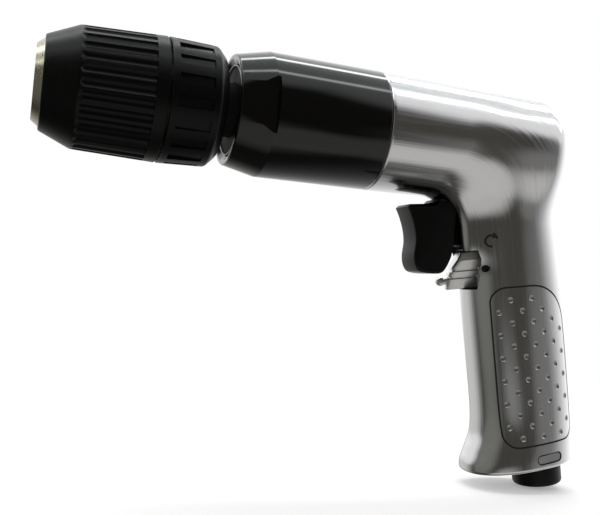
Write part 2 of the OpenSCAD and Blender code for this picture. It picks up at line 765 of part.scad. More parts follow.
module spindle() {
    color("lightgray") difference() {
        turned([
            [0, x_socket],
            [spindle_nose_d / 2, x_socket],
            [spindle_nose_d / 2, x_chuck_back],
            [spindle_collar_d / 2, x_chuck_back],
            [spindle_collar_d / 2, x_bearing_1],
            [spindle_bearing_bore / 2, x_bearing_1],
            [spindle_bearing_bore / 2, x_carrier_2],
            [carrier_d / 2, x_carrier_2],
            [carrier_d / 2, x_carrier_2 + carrier_2_t],
            [0, x_carrier_2 + carrier_2_t]
        ]);
        bar(x_socket - over, chuck_bore_depth + screw_len + free_gap, screw_d / 2 + seat_gap);
        planet_pins(x_carrier_2 - over, carrier_2_t + 2 * over, planet_pin_d);
    }
}

module second_planet_pins() {
    color("gray") planet_pins(x_carrier_2, carrier_2_t + free_gap + planet_2_w, planet_pin_d);
}

module second_planet(place) {
    color("gray") planet(x_planet_2, planet_2_w, place);
}
module second_planet_1() { second_planet(0); }
module second_planet_2() { second_planet(1); }
module second_planet_3() { second_planet(2); }

module first_carrier() {
    sun_phase = 180 / sun_teeth;
    color("gray") {
        difference() {
            bar(x_carrier_1, x_carrier_1 + carrier_1_t, carrier_d / 2);
            planet_pins(x_carrier_1 - over, carrier_1_t + 2 * over, planet_pin_d);
        }
        gear(x_planet_2, planet_2_w + free_gap, sun_teeth, sun_phase);
    }
}

module first_planet_pins() {
    color("gray") planet_pins(x_carrier_1, carrier_1_t + free_gap + planet_1_w, planet_pin_d);
}

module first_planet(place) {
    color("gray") planet(x_planet_1, planet_1_w, place);
}
module first_planet_1() { first_planet(0); }
module first_planet_2() { first_planet(1); }
module first_planet_3() { first_planet(2); }

// End plate with a pocket for a rotor bearing, open away from the cylinder
module end_plate(x_0, pocket_x) {
    difference() {
        bar(x_0, x_0 + end_plate_t, motor_bore_d / 2 - seat_gap);
        bar(x_0 - over, x_0 + end_plate_t + over, rotor_bearing_bore / 2 + free_gap);
        bar(pocket_x, pocket_x + rotor_bearing_w + over, rotor_bearing_d / 2);
        motor_dowel_bar(dowel_d / 2);
    }
}

module front_end_plate() {
    color("darkgray") end_plate(x_motor, x_motor - over);
}

module rear_end_plate() {
    color("darkgray") end_plate(x_cylinder_back, x_bearing_4);
}

// Dowel low in the motor, where the cylinder's wall is thickest
module motor_dowel_bar(r) {
    translate([0, 0, -motor_bore_d / 2 + dowel_rim + dowel_d / 2])
        bar(x_motor + free_gap, x_plate_back - free_gap, r);
}

module motor_dowel() {
    color("gray") motor_dowel_bar(dowel_d / 2 - seat_gap);
}

module motor_cylinder() {
    color("darkgray") difference() {
        bar(x_cylinder, x_cylinder_back, motor_bore_d / 2 - seat_gap);
        translate([0, 0, cylinder_offset])
            bar(x_cylinder - over, x_cylinder_back + over, cylinder_bore_d / 2);
        motor_dowel_bar(dowel_d / 2);
        for (side = [-1, 1])
            for (i = [1 : port_count])
                translate([x_cylinder + cylinder_len * i / (port_count + 1), 0, 0])
                    rotate([180 + side * port_turn, 0, 0])
                    cylinder(h = motor_bore_d, d = port_d, $fn = fine);
    }
}

module motor_washer() {
    color("gray") ring(x_plate_back, x_motor_back, motor_bore_d / 2 - seat_gap,
        ball_orbit(rotor_bearing_d, rotor_bearing_bore));
}

// Flat blade in each of the rotor's slots
module blades(r_0, r_1, thick, x_0, x_1) {
    for (i = [0 : vane_count - 1])
        along_x(x_0) rotate([0, 0, 360 * i / vane_count]) translate([r_0, -thick / 2, 0])
            cube([r_1 - r_0, thick, x_1 - x_0]);
}

module rotor() {
    shaft_r = rotor_bearing_bore / 2;
    color("gray") {
        difference() {
            turned([
                [0, x_gears_end],
                [shaft_r, x_gears_end],
                [shaft_r, x_cylinder + free_gap],
                [rotor_d / 2, x_cylinder + free_gap],
                [rotor_d / 2, x_cylinder_back - free_gap],
                [shaft_r, x_cylinder_back - free_gap],
                [shaft_r, x_plate_back],
                [0, x_plate_back]
            ]);
            blades(vane_floor_r, rotor_d / 2 + over, vane_t + 2 * run_gap, x_cylinder, x_cylinder_back);
        }
        gear(x_planet_1, planet_1_w + free_gap, sun_teeth, 180 / sun_teeth);
    }
}

module vanes() {
    color("saddlebrown") blades(vane_floor_r + free_gap, rotor_d / 2, vane_t, x_cylinder + free_gap,
        x_cylinder_back - free_gap);
}

module rotor_bearing_outer_races() {
    color("silver") for (x = [x_bearing_3, x_bearing_4])
        bearing_race(x, rotor_bearing_w, rotor_bearing_d, rotor_bearing_bore, true);
}

module rotor_bearing_inner_races() {
    color("silver") for (x = [x_bearing_3, x_bearing_4])
        bearing_race(x, rotor_bearing_w, rotor_bearing_d, rotor_bearing_bore, false);
}

module rotor_bearing_balls() {
    color("white") for (x = [x_bearing_3, x_bearing_4])
        bearing_balls(x, rotor_bearing_w, rotor_bearing_d, rotor_bearing_bore, bearing_ball_count);
}

// Carries what is drawn along Z to a jaw's own slanting axis
module on_jaw(place) {
    rotate([360 * place / jaw_count, 0, 0]) translate([0, 0, jaw_start])
        rotate([0, 90 - jaw_tilt, 0]) children();
}
function along_jaw(x) = x / cos(jaw_tilt);

module chuck_body() {
    color("lightgray") difference() {
        turned([
            [0, 0],
            [nose_d / 2, 0],
            [nose_root_d / 2, x_edge],
            [nose_root_d / 2, x_nut - free_gap],
            [neck_r, x_nut - free_gap],
            [neck_r, x_body_step],
            [body_r, x_body_step],
            [body_r, x_chuck_back],
            [0, x_chuck_back]
        ]);
        bar(-over, chuck_bore_depth, chuck_bore_d / 2);
        bar(chuck_bore_depth - over, x_socket + over, screw_d / 2 + seat_gap);
        bar(x_socket, x_chuck_back + over, spindle_nose_d / 2 + seat_gap);
        for (place = [0 : jaw_count - 1])
            on_jaw(place) translate([0, 0, -jaw_d]) cylinder(
                h = along_jaw(x_jaw_open) + jaw_half + jaw_d, r = jaw_d / 2 + run_gap, $fn = fine);
    }
}

// Round slanting shank, cut to a wedge at the front so that the jaws meet when closed
module jaw(place) {
    half = 180 / jaw_count;
    apex = jaw_close + jaw_flank_gap;
    teeth = floor((1 - jaw_tooth_start_share) * along_jaw(jaw_len) / jaw_tooth);
    color("darkgray") difference() {
        intersection() {
            on_jaw(place) translate([0, 0, -jaw_d])
                cylinder(h = along_jaw(jaw_len) + 2 * jaw_d, d = jaw_d, $fn = fine);
            rotate([360 * place / jaw_count, 0, 0]) along_x() linear_extrude(height = jaw_len) polygon([
                [-apex, 0],
                [-apex - sleeve_d, sleeve_d * tan(half)],
                [-apex - sleeve_d, -sleeve_d * tan(half)]
            ]);
        }
        bar(-over, jaw_len + over, jaw_opening_d / 2);
        on_jaw(place) for (i = [0 : teeth - 1])
            translate([-jaw_d / 2 - over, -jaw_d, along_jaw(jaw_len) - (i + 1) * jaw_tooth])
                cube([over + jaw_tooth_depth, 2 * jaw_d, jaw_tooth / 2]);
    }
}
module jaw_1() { jaw(0); }
module jaw_2() { jaw(1); }
module jaw_3() { jaw(2); }

module chuck_screw() {
    color("dimgray") {
        bar(chuck_bore_depth - screw_head_h, chuck_bore_depth, screw_head_d / 2);
        bar(chuck_bore_depth - seat_gap, chuck_bore_depth + screw_len, screw_d / 2);
    }
}

module chuck_nut() {
    function bore_r(x) = jaw_outer(x) + free_gap;
    color("gray") difference() {
        bar(x_nut, x_nut_back, nut_d / 2);
        along_x(x_nut - over) cylinder(h = nut_len + 2 * over, r1 = bore_r(x_nut - over),
            r2 = bore_r(x_nut_back + over), $fn = fine);
        translate([x_nut - over, -nut_split / 2, -nut_d])
            cube([nut_len + 2 * over, nut_split, 2 * nut_d]);
    }
}

module nut_jacket() {
    color("silver") ring(x_nut, x_body_step, jacket_r, nut_d / 2 + seat_gap);
}

module thrust_balls() {
    orbit = (nut_d - thrust_ball_d) / 2 - free_gap;
    color("white") for (i = [0 : thrust_ball_count - 1])
        along_x((x_nut_back + x_body_step) / 2) rotate([0, 0, 360 * i / thrust_ball_count])
            translate([orbit, 0, 0]) sphere(d = thrust_ball_d, $fn = fine);
}

// Long round-ended flutes that follow the front sleeve's slight taper
module flutes() {
    length = x_part - x_shoulder;
    slope = atan((sleeve_d - sleeve_shoulder_d) / 2 / length);
    start = x_shoulder + flute_r;
    start_r = sleeve_shoulder_d / 2 + (start - x_shoulder) * tan(slope) + flute_r - flute_depth;
    for (i = [0 : flute_count - 1])
        rotate([360 * i / flute_count, 0, 0]) translate([start, 0, start_r]) rotate([0, 90 - slope, 0]) {
            cylinder(h = x_part - flute_band - start, r = flute_r, $fn = fine);
            sphere(r = flute_r, $fn = fine);
        }
}

module front_sleeve() {
    x_end = x_part - parting_gap / 2;
    color("#1c1c1e") difference() {
        turned([
            [nose_root_d / 2 + free_gap, x_edge],
            [sleeve_edge_d / 2, x_edge],
            [sleeve_shoulder_d / 2, x_shoulder],
            [sleeve_d / 2, x_end],
            [sleeve_room_r, x_end],
            [sleeve_room_r, x_body_step],
            [jacket_r + seat_gap, x_body_step],
            [jacket_r + seat_gap, x_nut],
            [nose_root_d / 2 + free_gap, x_nut]
        ]);
        flutes();
    }
}

module rear_sleeve() {
    x_start = x_part + parting_gap / 2;
    x_shoulder_back = x_chuck_back - rear_chamfer_len;
    slot_len = x_shoulder_back - x_start - 2 * slot_band;
    color("#1c1c1e") difference() {
        turned([
            [body_r + seat_gap, x_start],
            [sleeve_d / 2, x_start],
            [rear_shoulder_d / 2, x_shoulder_back],
            [rear_back_d / 2, x_chuck_back],
            [body_r + seat_gap, x_chuck_back]
        ]);
        for (i = [0 : slot_count - 1])
            rotate([360 * i / slot_count, 0, 0])
                translate([x_start + slot_band, -slot_w / 2, rear_shoulder_d / 2 - slot_depth])
                cube([slot_len, slot_w, over]);
    }
}

// Side outline of the trigger, from its tip down the hollow front and back along the shank
function trigger_points() = concat(
    [for (s = concat(trigger_front_shares, trigger_foot_shares, trigger_heel_shares))
        [x_tip + s[0] * trigger_len, -trigger_top + s[1] * trigger_h]],
    [[x_tip + trigger_neck_share * trigger_len, -trigger_top - shank_h],
        [x_shank_back, -trigger_top - shank_h],
        [x_shank_back, -trigger_top]],
    [for (s = trigger_brow_shares) [x_tip + s[0] * trigger_len, -trigger_top + s[1] * trigger_h]]);

// Outline drawn in by a distance, each point along the middle of its two edges' normals
function drawn_in(points, distance) = [
    for (i = [0 : len(points) - 1])
        let (a = points[(i + len(points) - 1) % len(points)])
        let (b = points[i])
        let (c = points[(i + 1) % len(points)])
        let (in_way = (b - a) / norm(b - a))
        let (out_way = (c - b) / norm(c - b))
        let (mid = (in_way + out_way) / norm(in_way + out_way))
        let (spread = max(cross(mid, out_way) * cross(mid, out_way), 0))
        b + distance / sqrt(max(1 - spread, corner_limit_share)) * [-mid[1], mid[0]]
];

// Solid between the sides of an outline, with rounded edges along both sides
module rounded_plate(points, width, round_r, steps) {
    count = len(points);
    layers = [
        for (side = [-1, 1])
            for (k = [0 : steps])
                let (turn = side < 0 ? 90 * k / steps : 90 - 90 * k / steps)
                [side * (width / 2 - round_r + round_r * cos(turn)), round_r * (1 - sin(turn))]
    ];
    rings = [for (layer = layers) [for (p = drawn_in(points, layer[1])) [p[0], layer[0], p[1]]]];
    sides = [
        for (i = [0 : len(layers) - 2])
            for (j = [0 : count - 1])
                let (k = (j + 1) % count)
                for (half = [0, 1])
                    half == 0 ?
                    [i * count + j, i * count + k, (i + 1) * count + k] :
                    [i * count + j, (i + 1) * count + k, (i + 1) * count + j]
    ];
    ends = [
        [for (j = [0 : count - 1]) count - 1 - j],
        [for (j = [0 : count - 1]) (len(layers) - 1) * count + j]
    ];
    polyhedron(points = [for (r = rings) each r], faces = concat(sides, ends));
}

// Bar along the throttle's axis between two stations
module throttle_bar(x_0, x_1, r) {
    translate([0, 0, -throttle_drop]) bar(x_0, x_1, r);
}

module trigger() {
    color("#161616") difference() {
        rounded_plate(trigger_points(), trigger_w, trigger_round, trigger_round_steps);
        throttle_bar(x_shank_back - stem_seat, x_shank_back + over, stem_d / 2 + seat_gap);
    }
}

module throttle_stem() {
    color("silver") throttle_bar(x_shank_back - stem_seat, x_head, stem_d / 2);
}

module throttle_valve() {
    color("peru") throttle_bar(x_head, x_head + valve_head_t, valve_head_d / 2);
}

module throttle_bushing() {
    color("goldenrod") difference() {
        throttle_bar(x_pocket, x_bush_back, throttle_bush_d / 2 - seat_gap);
        throttle_bar(x_pocket - over, x_bush_back + over, stem_d / 2 + run_gap);
    }
}

// Closed tube along a helix about the throttle's axis
module throttle_spring() {
    orbit = (spring_d - spring_wire) / 2;
    count = curl_rings * spring_turns;
    rise = spring_len - spring_wire;
    pitch_angle = atan(rise / spring_turns / (2 * PI * orbit));
    rings = [
        for (i = [0 : count])
            let (turn = 360 * i / curl_rings)
            let (out = [0, cos(turn), sin(turn)])
            let (up = [cos(pitch_angle), sin(pitch_angle) * sin(turn), -sin(pitch_angle) * cos(turn)])
            let (middle = [x_spring + spring_wire / 2 + rise * i / count, 0, -throttle_drop] + orbit * out)
            [for (j = [0 : wire_sides - 1])
                let (round_turn = 360 * j / wire_sides)
                middle + spring_wire / 2 * (cos(round_turn) * out + sin(round_turn) * up)]
    ];
    sides = [
        for (i = [0 : count - 1])
            for (j = [0 : wire_sides - 1])
                let (k = (j + 1) % wire_sides)
                for (half = [0, 1])
                    half == 0 ?
                    [i * wire_sides + j, i * wire_sides + k, (i + 1) * wire_sides + k] :
                    [i * wire_sides + j, (i + 1) * wire_sides + k, (i + 1) * wire_sides + j]
    ];
    ends = [
        [for (j = [0 : wire_sides - 1]) wire_sides - 1 - j],
        [for (j = [0 : wire_sides - 1]) count * wire_sides + j]
    ];
    color("gray") polyhedron(points = [for (r = rings) each r], faces = concat(sides, ends));
}

// Lever's own frame: its turning axis is Z, its finger tab points along negative X, as it stands at rest
module on_lever() {
    on_grip() translate([-lever_forward, 0, -lever_bottom]) rotate([0, 0, -lever_swing]) children();
}

module reverse_lever() {
    color("#b9bcc0") on_lever() difference() {
        union() {
            cylinder(h = lever_h, d = lever_hub_d, $fn = fine);
            translate([-lever_reach, -lever_w / 2, 0]) cube([lever_reach, lever_w, lever_h]);
            translate([-tab_reach, -tab_w / 2, tab_rise]) cube([tab_reach, tab_w, tab_t]);
            translate([-tab_reach, 0, tab_rise + tab_t / 2]) rotate([90, 0, 0])
                cylinder(h = tab_w, d = bead_d, center = true, $fn = fine);
        }
        translate([0, 0, -over])
            cylinder(h = lever_h + 2 * over, d = reverse_stem_d + 2 * seat_gap, $fn = fine);
        translate([-lever_reach - lever_scoop_forward, 0, lever_h * lever_scoop_share]) rotate([90, 0, 0])
            cylinder(h = 2 * lever_w, r = lever_scoop_r, center = true, $fn = fine);
        for (y = [-lever_w / 2 - over, lever_w / 2 - rib_depth])
            for (s = rib_shares)
                translate([-lever_reach - over, y, s * lever_h])
                    cube([lever_reach + over - rib_start, over + rib_depth, rib_gap]);
    }
}

module reverse_valve() {
    color("gray") on_lever() {
        cylinder(h = lever_h, d = reverse_stem_d, $fn = fine);
        translate([0, 0, -reverse_valve_len])
            cylinder(h = reverse_valve_len, d = reverse_valve_d, $fn = fine);
    }
}

module lever_stop_pins() {
    power = grip_power_share;
    side_y = grip_width / 2 * pow(1 - pow(abs(stop_pin_q) / (grip_depth / 2), power), 1 / power);
    color("#111111") on_grip()
        stop_pin_bar(lever_pocket, side_y - stop_pin_inset, stop_pin_d / 2 - seat_gap);
}

// Shape turned about the inlet's axis, from points of radius and height above the foot
module inlet_turned(points) {
    on_grip() translate([passage_back, 0, -foot_t]) rotate_extrude($fn = fine) polygon(points);
}

module inlet_bushing() {
    top = inlet_thread_len - inlet_seal_d;
    color("#202020") inlet_turned([
        [inlet_bore_d / 2, -inlet_collar_len],
        [inlet_collar_d / 2 - inlet_chamfer, -inlet_collar_len],
        [inlet_collar_d / 2, -inlet_collar_len + inlet_chamfer],
        [inlet_collar_d / 2, 0],
        [inlet_thread_d / 2 - seat_gap, 0],
        [inlet_thread_d / 2 - seat_gap, top],
        [inlet_throat_d / 2, top],
        [inlet_throat_d / 2, inlet_bore_depth - inlet_collar_len],
        [inlet_bore_d / 2, inlet_bore_depth - inlet_collar_len]
    ]);
}

module inlet_seal() {
    orbit = (inlet_thread_d - inlet_seal_d) / 2 - seat_gap;
    color("#151515") on_grip() translate([passage_back, 0, -foot_t + inlet_thread_len - inlet_seal_d / 2])
        rotate_extrude($fn = fine) translate([orbit, 0]) circle(d = inlet_seal_d, $fn = fine);
}

// Slotted thimble that stands on the bushing inside the passage
module inlet_screen() {
    base = inlet_thread_len - inlet_seal_d;
    r = inlet_throat_d / 2 + screen_wall;
    color("tan") difference() {
        inlet_turned([
            [inlet_throat_d / 2, base],
            [r, base],
            [r, base + screen_len],
            [0, base + screen_len],
            [0, base + screen_len - screen_wall],
            [inlet_throat_d / 2, base + screen_len - screen_wall]
        ]);
        on_grip() for (i = [0 : screen_slots - 1])
            translate([passage_back, 0, -foot_t + base + 2 * screen_wall])
                rotate([0, 0, 360 * i / screen_slots]) translate([0, -screen_slot_w / 2, 0])
                cube([r + over, screen_slot_w, screen_len - 4 * screen_wall]);
    }
}

module muffler() {
    color("tan") on_grip() difference() {
        grip_bar(-exhaust_forward, foot_t - exhaust_screen_t - muffler_len, foot_t - exhaust_screen_t,
            exhaust_d / 2 - seat_gap);
        grip_bar(-exhaust_forward, foot_t - exhaust_rise, foot_t, muffler_bore_d / 2);
    }
}

module exhaust_screen() {
    color("#202020") on_grip() difference() {
        grip_bar(-exhaust_forward, foot_t - exhaust_screen_t, foot_t, exhaust_d / 2 - seat_gap);
        for (i = [0 : screen_hole_count])
            rotate_about_exhaust(i) grip_bar(0, foot_t - exhaust_rise, foot_t + over, screen_hole_d / 2);
    }
}

// First hole stands in the middle, the others on a ring round it
module rotate_about_exhaust(i) {
    off = i == 0 ? 0 : screen_hole_ring;
    turn = 360 * i / screen_hole_count;
    translate([-exhaust_forward + off * cos(turn), off * sin(turn), 0]) children();
}

housing();
gear_case();
ring_gear();
gear_washer();
dust_ring();
spindle_bearing_outer_races();
spindle_bearing_inner_races();
spindle_bearing_balls();
spindle();
second_planet_pins();
second_planet_1();
second_planet_2();
second_planet_3();
first_carrier();
first_planet_pins();
first_planet_1();
first_planet_2();
first_planet_3();
front_end_plate();
motor_cylinder();
rear_end_plate();
motor_dowel();
motor_washer();
rotor();
vanes();
rotor_bearing_outer_races();
rotor_bearing_inner_races();
rotor_bearing_balls();
chuck_body();
chuck_screw();
rear_sleeve();
front_sleeve();
chuck_nut();
nut_jacket();
thrust_balls();
jaw_1();
jaw_2();
jaw_3();
trigger();
throttle_stem();
throttle_valve();
throttle_bushing();
throttle_spring();
reverse_lever();
reverse_valve();
lever_stop_pins();
inlet_bushing();
inlet_seal();
inlet_screen();
muffler();
exhaust_screen();
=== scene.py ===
import json
import logging
import math
from dataclasses import dataclass, field
from enum import Enum
from typing import Sequence

import bpy
import numpy as np
from mathutils import Matrix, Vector
from numpy.typing import NDArray


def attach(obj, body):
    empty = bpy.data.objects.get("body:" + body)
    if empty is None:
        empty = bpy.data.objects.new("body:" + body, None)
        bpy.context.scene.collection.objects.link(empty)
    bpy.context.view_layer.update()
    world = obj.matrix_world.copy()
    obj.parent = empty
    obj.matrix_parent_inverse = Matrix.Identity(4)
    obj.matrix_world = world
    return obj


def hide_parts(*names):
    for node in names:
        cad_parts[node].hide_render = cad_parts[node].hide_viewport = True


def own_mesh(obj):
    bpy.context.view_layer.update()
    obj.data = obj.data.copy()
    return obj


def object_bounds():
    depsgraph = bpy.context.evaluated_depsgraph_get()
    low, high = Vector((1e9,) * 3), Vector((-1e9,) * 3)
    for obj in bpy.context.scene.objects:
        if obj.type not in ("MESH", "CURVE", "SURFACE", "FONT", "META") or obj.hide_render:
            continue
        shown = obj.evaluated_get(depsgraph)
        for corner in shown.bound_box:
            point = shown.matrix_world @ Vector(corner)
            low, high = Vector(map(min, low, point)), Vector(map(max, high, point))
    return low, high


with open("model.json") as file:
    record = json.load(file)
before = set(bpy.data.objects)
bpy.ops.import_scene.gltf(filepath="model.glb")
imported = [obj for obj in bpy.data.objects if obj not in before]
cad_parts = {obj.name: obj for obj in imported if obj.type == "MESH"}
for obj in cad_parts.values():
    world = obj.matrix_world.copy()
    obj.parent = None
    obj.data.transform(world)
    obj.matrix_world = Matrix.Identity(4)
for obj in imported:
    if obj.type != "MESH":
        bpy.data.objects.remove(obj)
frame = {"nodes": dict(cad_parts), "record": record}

Array = NDArray[np.float64]
Index = NDArray[np.int64]
Colour = tuple[float, float, float]
Place = tuple[float, float, float]
Pairs = tuple[tuple[float, float], ...]
Inputs = dict[str | int, object]

LOG = logging.getLogger("air_drill")
MM = 0.001
TURN = 2 * math.pi
QUARTER = math.pi / 2
CAD_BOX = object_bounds()
SHARP = 32.0
LEAST_STEP = 1e-6

# Places that several sub-assemblies share, in millimetres
X_JOINT = 119.2
X_SPRING_END = 194.3
THROTTLE_Z = -33.0
HANDLE_LEN = 123.0
INLET_Q = 4.7

# Patterns that all finishes share
MARK_DETAIL = 3.0
CLOUD_DETAIL = 4.0
CLOUD_SHARE = 0.05
NOISE_LOW = 0.3
NOISE_HIGH = 0.7
LEAST_ROUGHNESS = 0.02


class Grain(Enum):
    """Ways that a finish's fine marks can run; the value scales their pattern along the coordinates."""

    EVEN = (1.0, 1.0, 1.0)
    LENGTHWISE = (0.012, 1.0, 1.0)
    TURNED = (1.0, 0.03, 0.03)


class Side(Enum):
    """Sides of the drill; the value is the sign along Y."""

    NEAR = -1
    FAR = 1


def fill(node: bpy.types.Node, values: Inputs) -> None:
    """Sets a node's inputs: a socket is linked to the input, any other value is written there.

    Args:
        node: Node of a material or world.
        values: Sockets and values by the inputs' names or numbers.
    """
    for key, value in values.items():
        if isinstance(value, bpy.types.NodeSocket):
            node.id_data.links.new(value, node.inputs[key])
        else:
            node.inputs[key].default_value = value


def add(tree: bpy.types.NodeTree, kind: str, values: Inputs, **settings: str) -> bpy.types.Node:
    """Adds a shader node.

    Args:
        tree: Node tree that takes it.
        kind: Type of the node, without the prefix that all types have.
        values: Sockets and values for its inputs.
        settings: Values of its own properties.

    Returns:
        The node.
    """
    node = tree.nodes.new(f"ShaderNode{kind}")
    for name, value in settings.items():
        setattr(node, name, value)
    fill(node, values)
    return node


def grown(block: bpy.types.Material | bpy.types.World) -> bpy.types.NodeTree:
    """Node tree of a new material or world."""
    block.use_nodes = True
    return block.node_tree


@dataclass(frozen=True)
class Finish:
    """Surface finish as a procedural material.

    Attributes:
        name: Name of the material.
        colour: Main colour.
        shade: Second colour, mottled into the first.
        metallic: 1 for bare metal.
        roughness: Mean roughness.
        spread: How far the roughness strays to either side.
        grain: Way that the fine marks run.
        cells: Fine marks in a metre, across the grain.
        height: Depth of the fine marks, in metres.
        coat: Weight of a clear coat.
        coat_roughness: Roughness of the clear coat.
        specular: Strength of the plain gloss, 0.5 for most plastics.
        own_map: True where the marks follow the piece's own map.
    """

    name: str
    colour: Colour
    shade: Colour
    metallic: float = 0.0
    roughness: float = 0.5
    spread: float = 0.08
    grain: Grain = Grain.EVEN
    cells: float = 3000.0
    height: float = 0.00001
    coat: float = 0.0
    coat_roughness: float = 0.1
    specular: float = 0.5
    own_map: bool = False

    def material(self) -> bpy.types.Material:
        """Builds the node tree once and gives it again on later calls.

        Returns:
            The material, with mottled colour, uneven roughness and fine relief.
        """
        title = f"{self.name}_finish"
        found = bpy.data.materials.get(title)
        if found is not None:
            return found
        material = bpy.data.materials.new(title)
        tree = grown(material)
        place = add(tree, "TexCoord", {}).outputs["UV" if self.own_map else "Object"]
        spot = add(tree, "Mapping", {"Scale": self.grain.value, "Vector": place}).outputs["Vector"]
        marks, clouds = (
            add(tree, "TexNoise", {"Scale": cells, "Detail": detail, "Vector": spot}).outputs["Fac"]
            for cells, detail in ((self.cells, MARK_DETAIL), (self.cells * CLOUD_SHARE, CLOUD_DETAIL))
        )
        colours = {"A": (*self.colour, 1.0), "B": (*self.shade, 1.0), "Factor": clouds}
        gloss = add(tree, "MapRange", {
            "From Min": NOISE_LOW, "From Max": NOISE_HIGH, "Value": marks,
            "To Min": max(self.roughness - self.spread, LEAST_ROUGHNESS),
            "To Max": self.roughness + self.spread,
        })
        fill(tree.nodes["Principled BSDF"], {
            "Base Color": add(tree, "Mix", colours, data_type="RGBA").outputs["Result"],
            "Roughness": gloss.outputs["Result"],
            "Normal": add(tree, "Bump", {"Distance": self.height, "Height": marks}).outputs["Normal"],
            "Metallic": self.metallic,
            "Specular IOR Level": self.specular,
            "Coat Weight": self.coat,
            "Coat Roughness": self.coat_roughness,
        })
        return material


POLISHED_CASTING = Finish(
    "polished_casting", (0.74, 0.74, 0.75), (0.66, 0.66, 0.67), 1.0, 0.16, 0.07,
    Grain.LENGTHWISE, cells=1600.0, height=0.000026, own_map=True,
)
# Darker, rougher copy of the casting for the cut faces of bores, slots and the lever's window: rough as
# unpolished metal, and darker as painted shade in these hollows.
RAW_CASTING_AND_SHADE = Finish("raw_casting_and_shade", (0.3, 0.3, 0.31), (0.22, 0.22, 0.23), 1.0, 0.5)
# Darker copy of the polished casting: painted shade inside the grip's dimples, and the blank plate's own
# darker tone.
DIMPLE_SHADE_AND_PLATE_TONE = Finish(
    "dimple_shade_and_plate_tone", (0.44, 0.44, 0.45), (0.36, 0.36, 0.37), 1.0, 0.36, 0.06, height=0.000002
)
DARK_GROOVE = Finish("dark_groove", (0.012, 0.012, 0.012), (0.02, 0.02, 0.02), 0.0, 0.6, specular=0.2)
BLACK_ENAMEL = Finish(
    "black_enamel", (0.001, 0.001, 0.001), (0.0016, 0.0016, 0.0016), 0.0, 0.12, 0.05,
    Grain.LENGTHWISE, cells=1800.0, height=0.000006, coat=0.5, coat_roughness=0.05, specular=0.22,
)
CHUCK_NYLON = Finish(
    "chuck_nylon", (0.0012, 0.0012, 0.0012), (0.002, 0.002, 0.002), 0.0, 0.34, 0.07,
    cells=5000.0, height=0.000012, specular=0.15,
)
TRIGGER_PLASTIC = Finish(
    "trigger_plastic", (0.0014, 0.0014, 0.0014), (0.0024, 0.0024, 0.0024), 0.0, 0.34, 0.06,
    cells=4000.0, height=0.000008, specular=0.22,
)
ZINC_CASTING = Finish("zinc_casting", (0.8, 0.8, 0.8), (0.7, 0.7, 0.7), 1.0, 0.36, cells=2500.0)
BRIGHT_STEEL = Finish(
    "bright_steel", (0.46, 0.44, 0.34), (0.38, 0.36, 0.28), 1.0, 0.24, 0.06,
    Grain.TURNED, cells=4000.0, height=0.000006,
)
# Near-black steel for the dust ring and spindle deep in the gear case's mouth: painted shade of that recess,
# not the steel's own colour.
PAINTED_SHADE_STEEL = Finish(
    "painted_shade_steel", (0.01, 0.0095, 0.009), (0.016, 0.015, 0.014), 0.0, 0.55,
    grain=Grain.TURNED, specular=0.06,
)
GEAR_STEEL = Finish("gear_steel", (0.36, 0.36, 0.37), (0.28, 0.28, 0.29), 1.0, 0.38)
BEARING_STEEL = Finish("bearing_steel", (0.7, 0.7, 0.71), (0.62, 0.62, 0.63), 1.0, 0.14, 0.04)
MOTOR_IRON = Finish("motor_iron", (0.3, 0.3, 0.3), (0.22, 0.22, 0.22), 1.0, 0.5)
VANE_RESIN = Finish("vane_resin", (0.3, 0.17, 0.08), (0.22, 0.12, 0.05), 0.0, 0.55)
BLACK_PIN = Finish("black_pin", (0.003, 0.003, 0.003), (0.006, 0.006, 0.006), 0.0, 0.4, specular=0.2)
BRASS = Finish("brass", (0.62, 0.44, 0.2), (0.5, 0.35, 0.15), 1.0, 0.32, 0.07, Grain.TURNED)
VALVE_RUBBER = Finish("valve_rubber", (0.03, 0.028, 0.027), (0.045, 0.042, 0.04), 0.0, 0.7)
MUFFLER_FELT = Finish("muffler_felt", (0.42, 0.36, 0.27), (0.3, 0.25, 0.18), 0.0, 0.95, 0.04, height=0.0002)
SCREEN_PLASTIC = Finish("screen_plastic", (0.02, 0.02, 0.021), (0.032, 0.032, 0.033), 0.0, 0.5)

SLOT_FINISHES = {"cast_aluminium": POLISHED_CASTING} | {
    finish.name: finish
    for finish in (
        BLACK_ENAMEL, CHUCK_NYLON, TRIGGER_PLASTIC, ZINC_CASTING, BRIGHT_STEEL, GEAR_STEEL, BEARING_STEEL,
        MOTOR_IRON, VANE_RESIN, BLACK_PIN, BRASS, VALVE_RUBBER, MUFFLER_FELT, SCREEN_PLASTIC,
    )
}
# The dust ring and spindle take the near-black steel, which paints the shade of the case's mouth.
NODE_FINISHES = {"dust_ring": PAINTED_SHADE_STEEL, "spindle": PAINTED_SHADE_STEEL}


def linked(name: str, data: bpy.types.ID) -> bpy.types.Object:
    """Puts data into the scene.

    Args:
        name: Name of the object.
        data: Mesh, light or camera that it shows.

    Returns:
        The new object.
    """
    item = bpy.data.objects.new(name, data)
    bpy.context.scene.collection.objects.link(item)
    return item


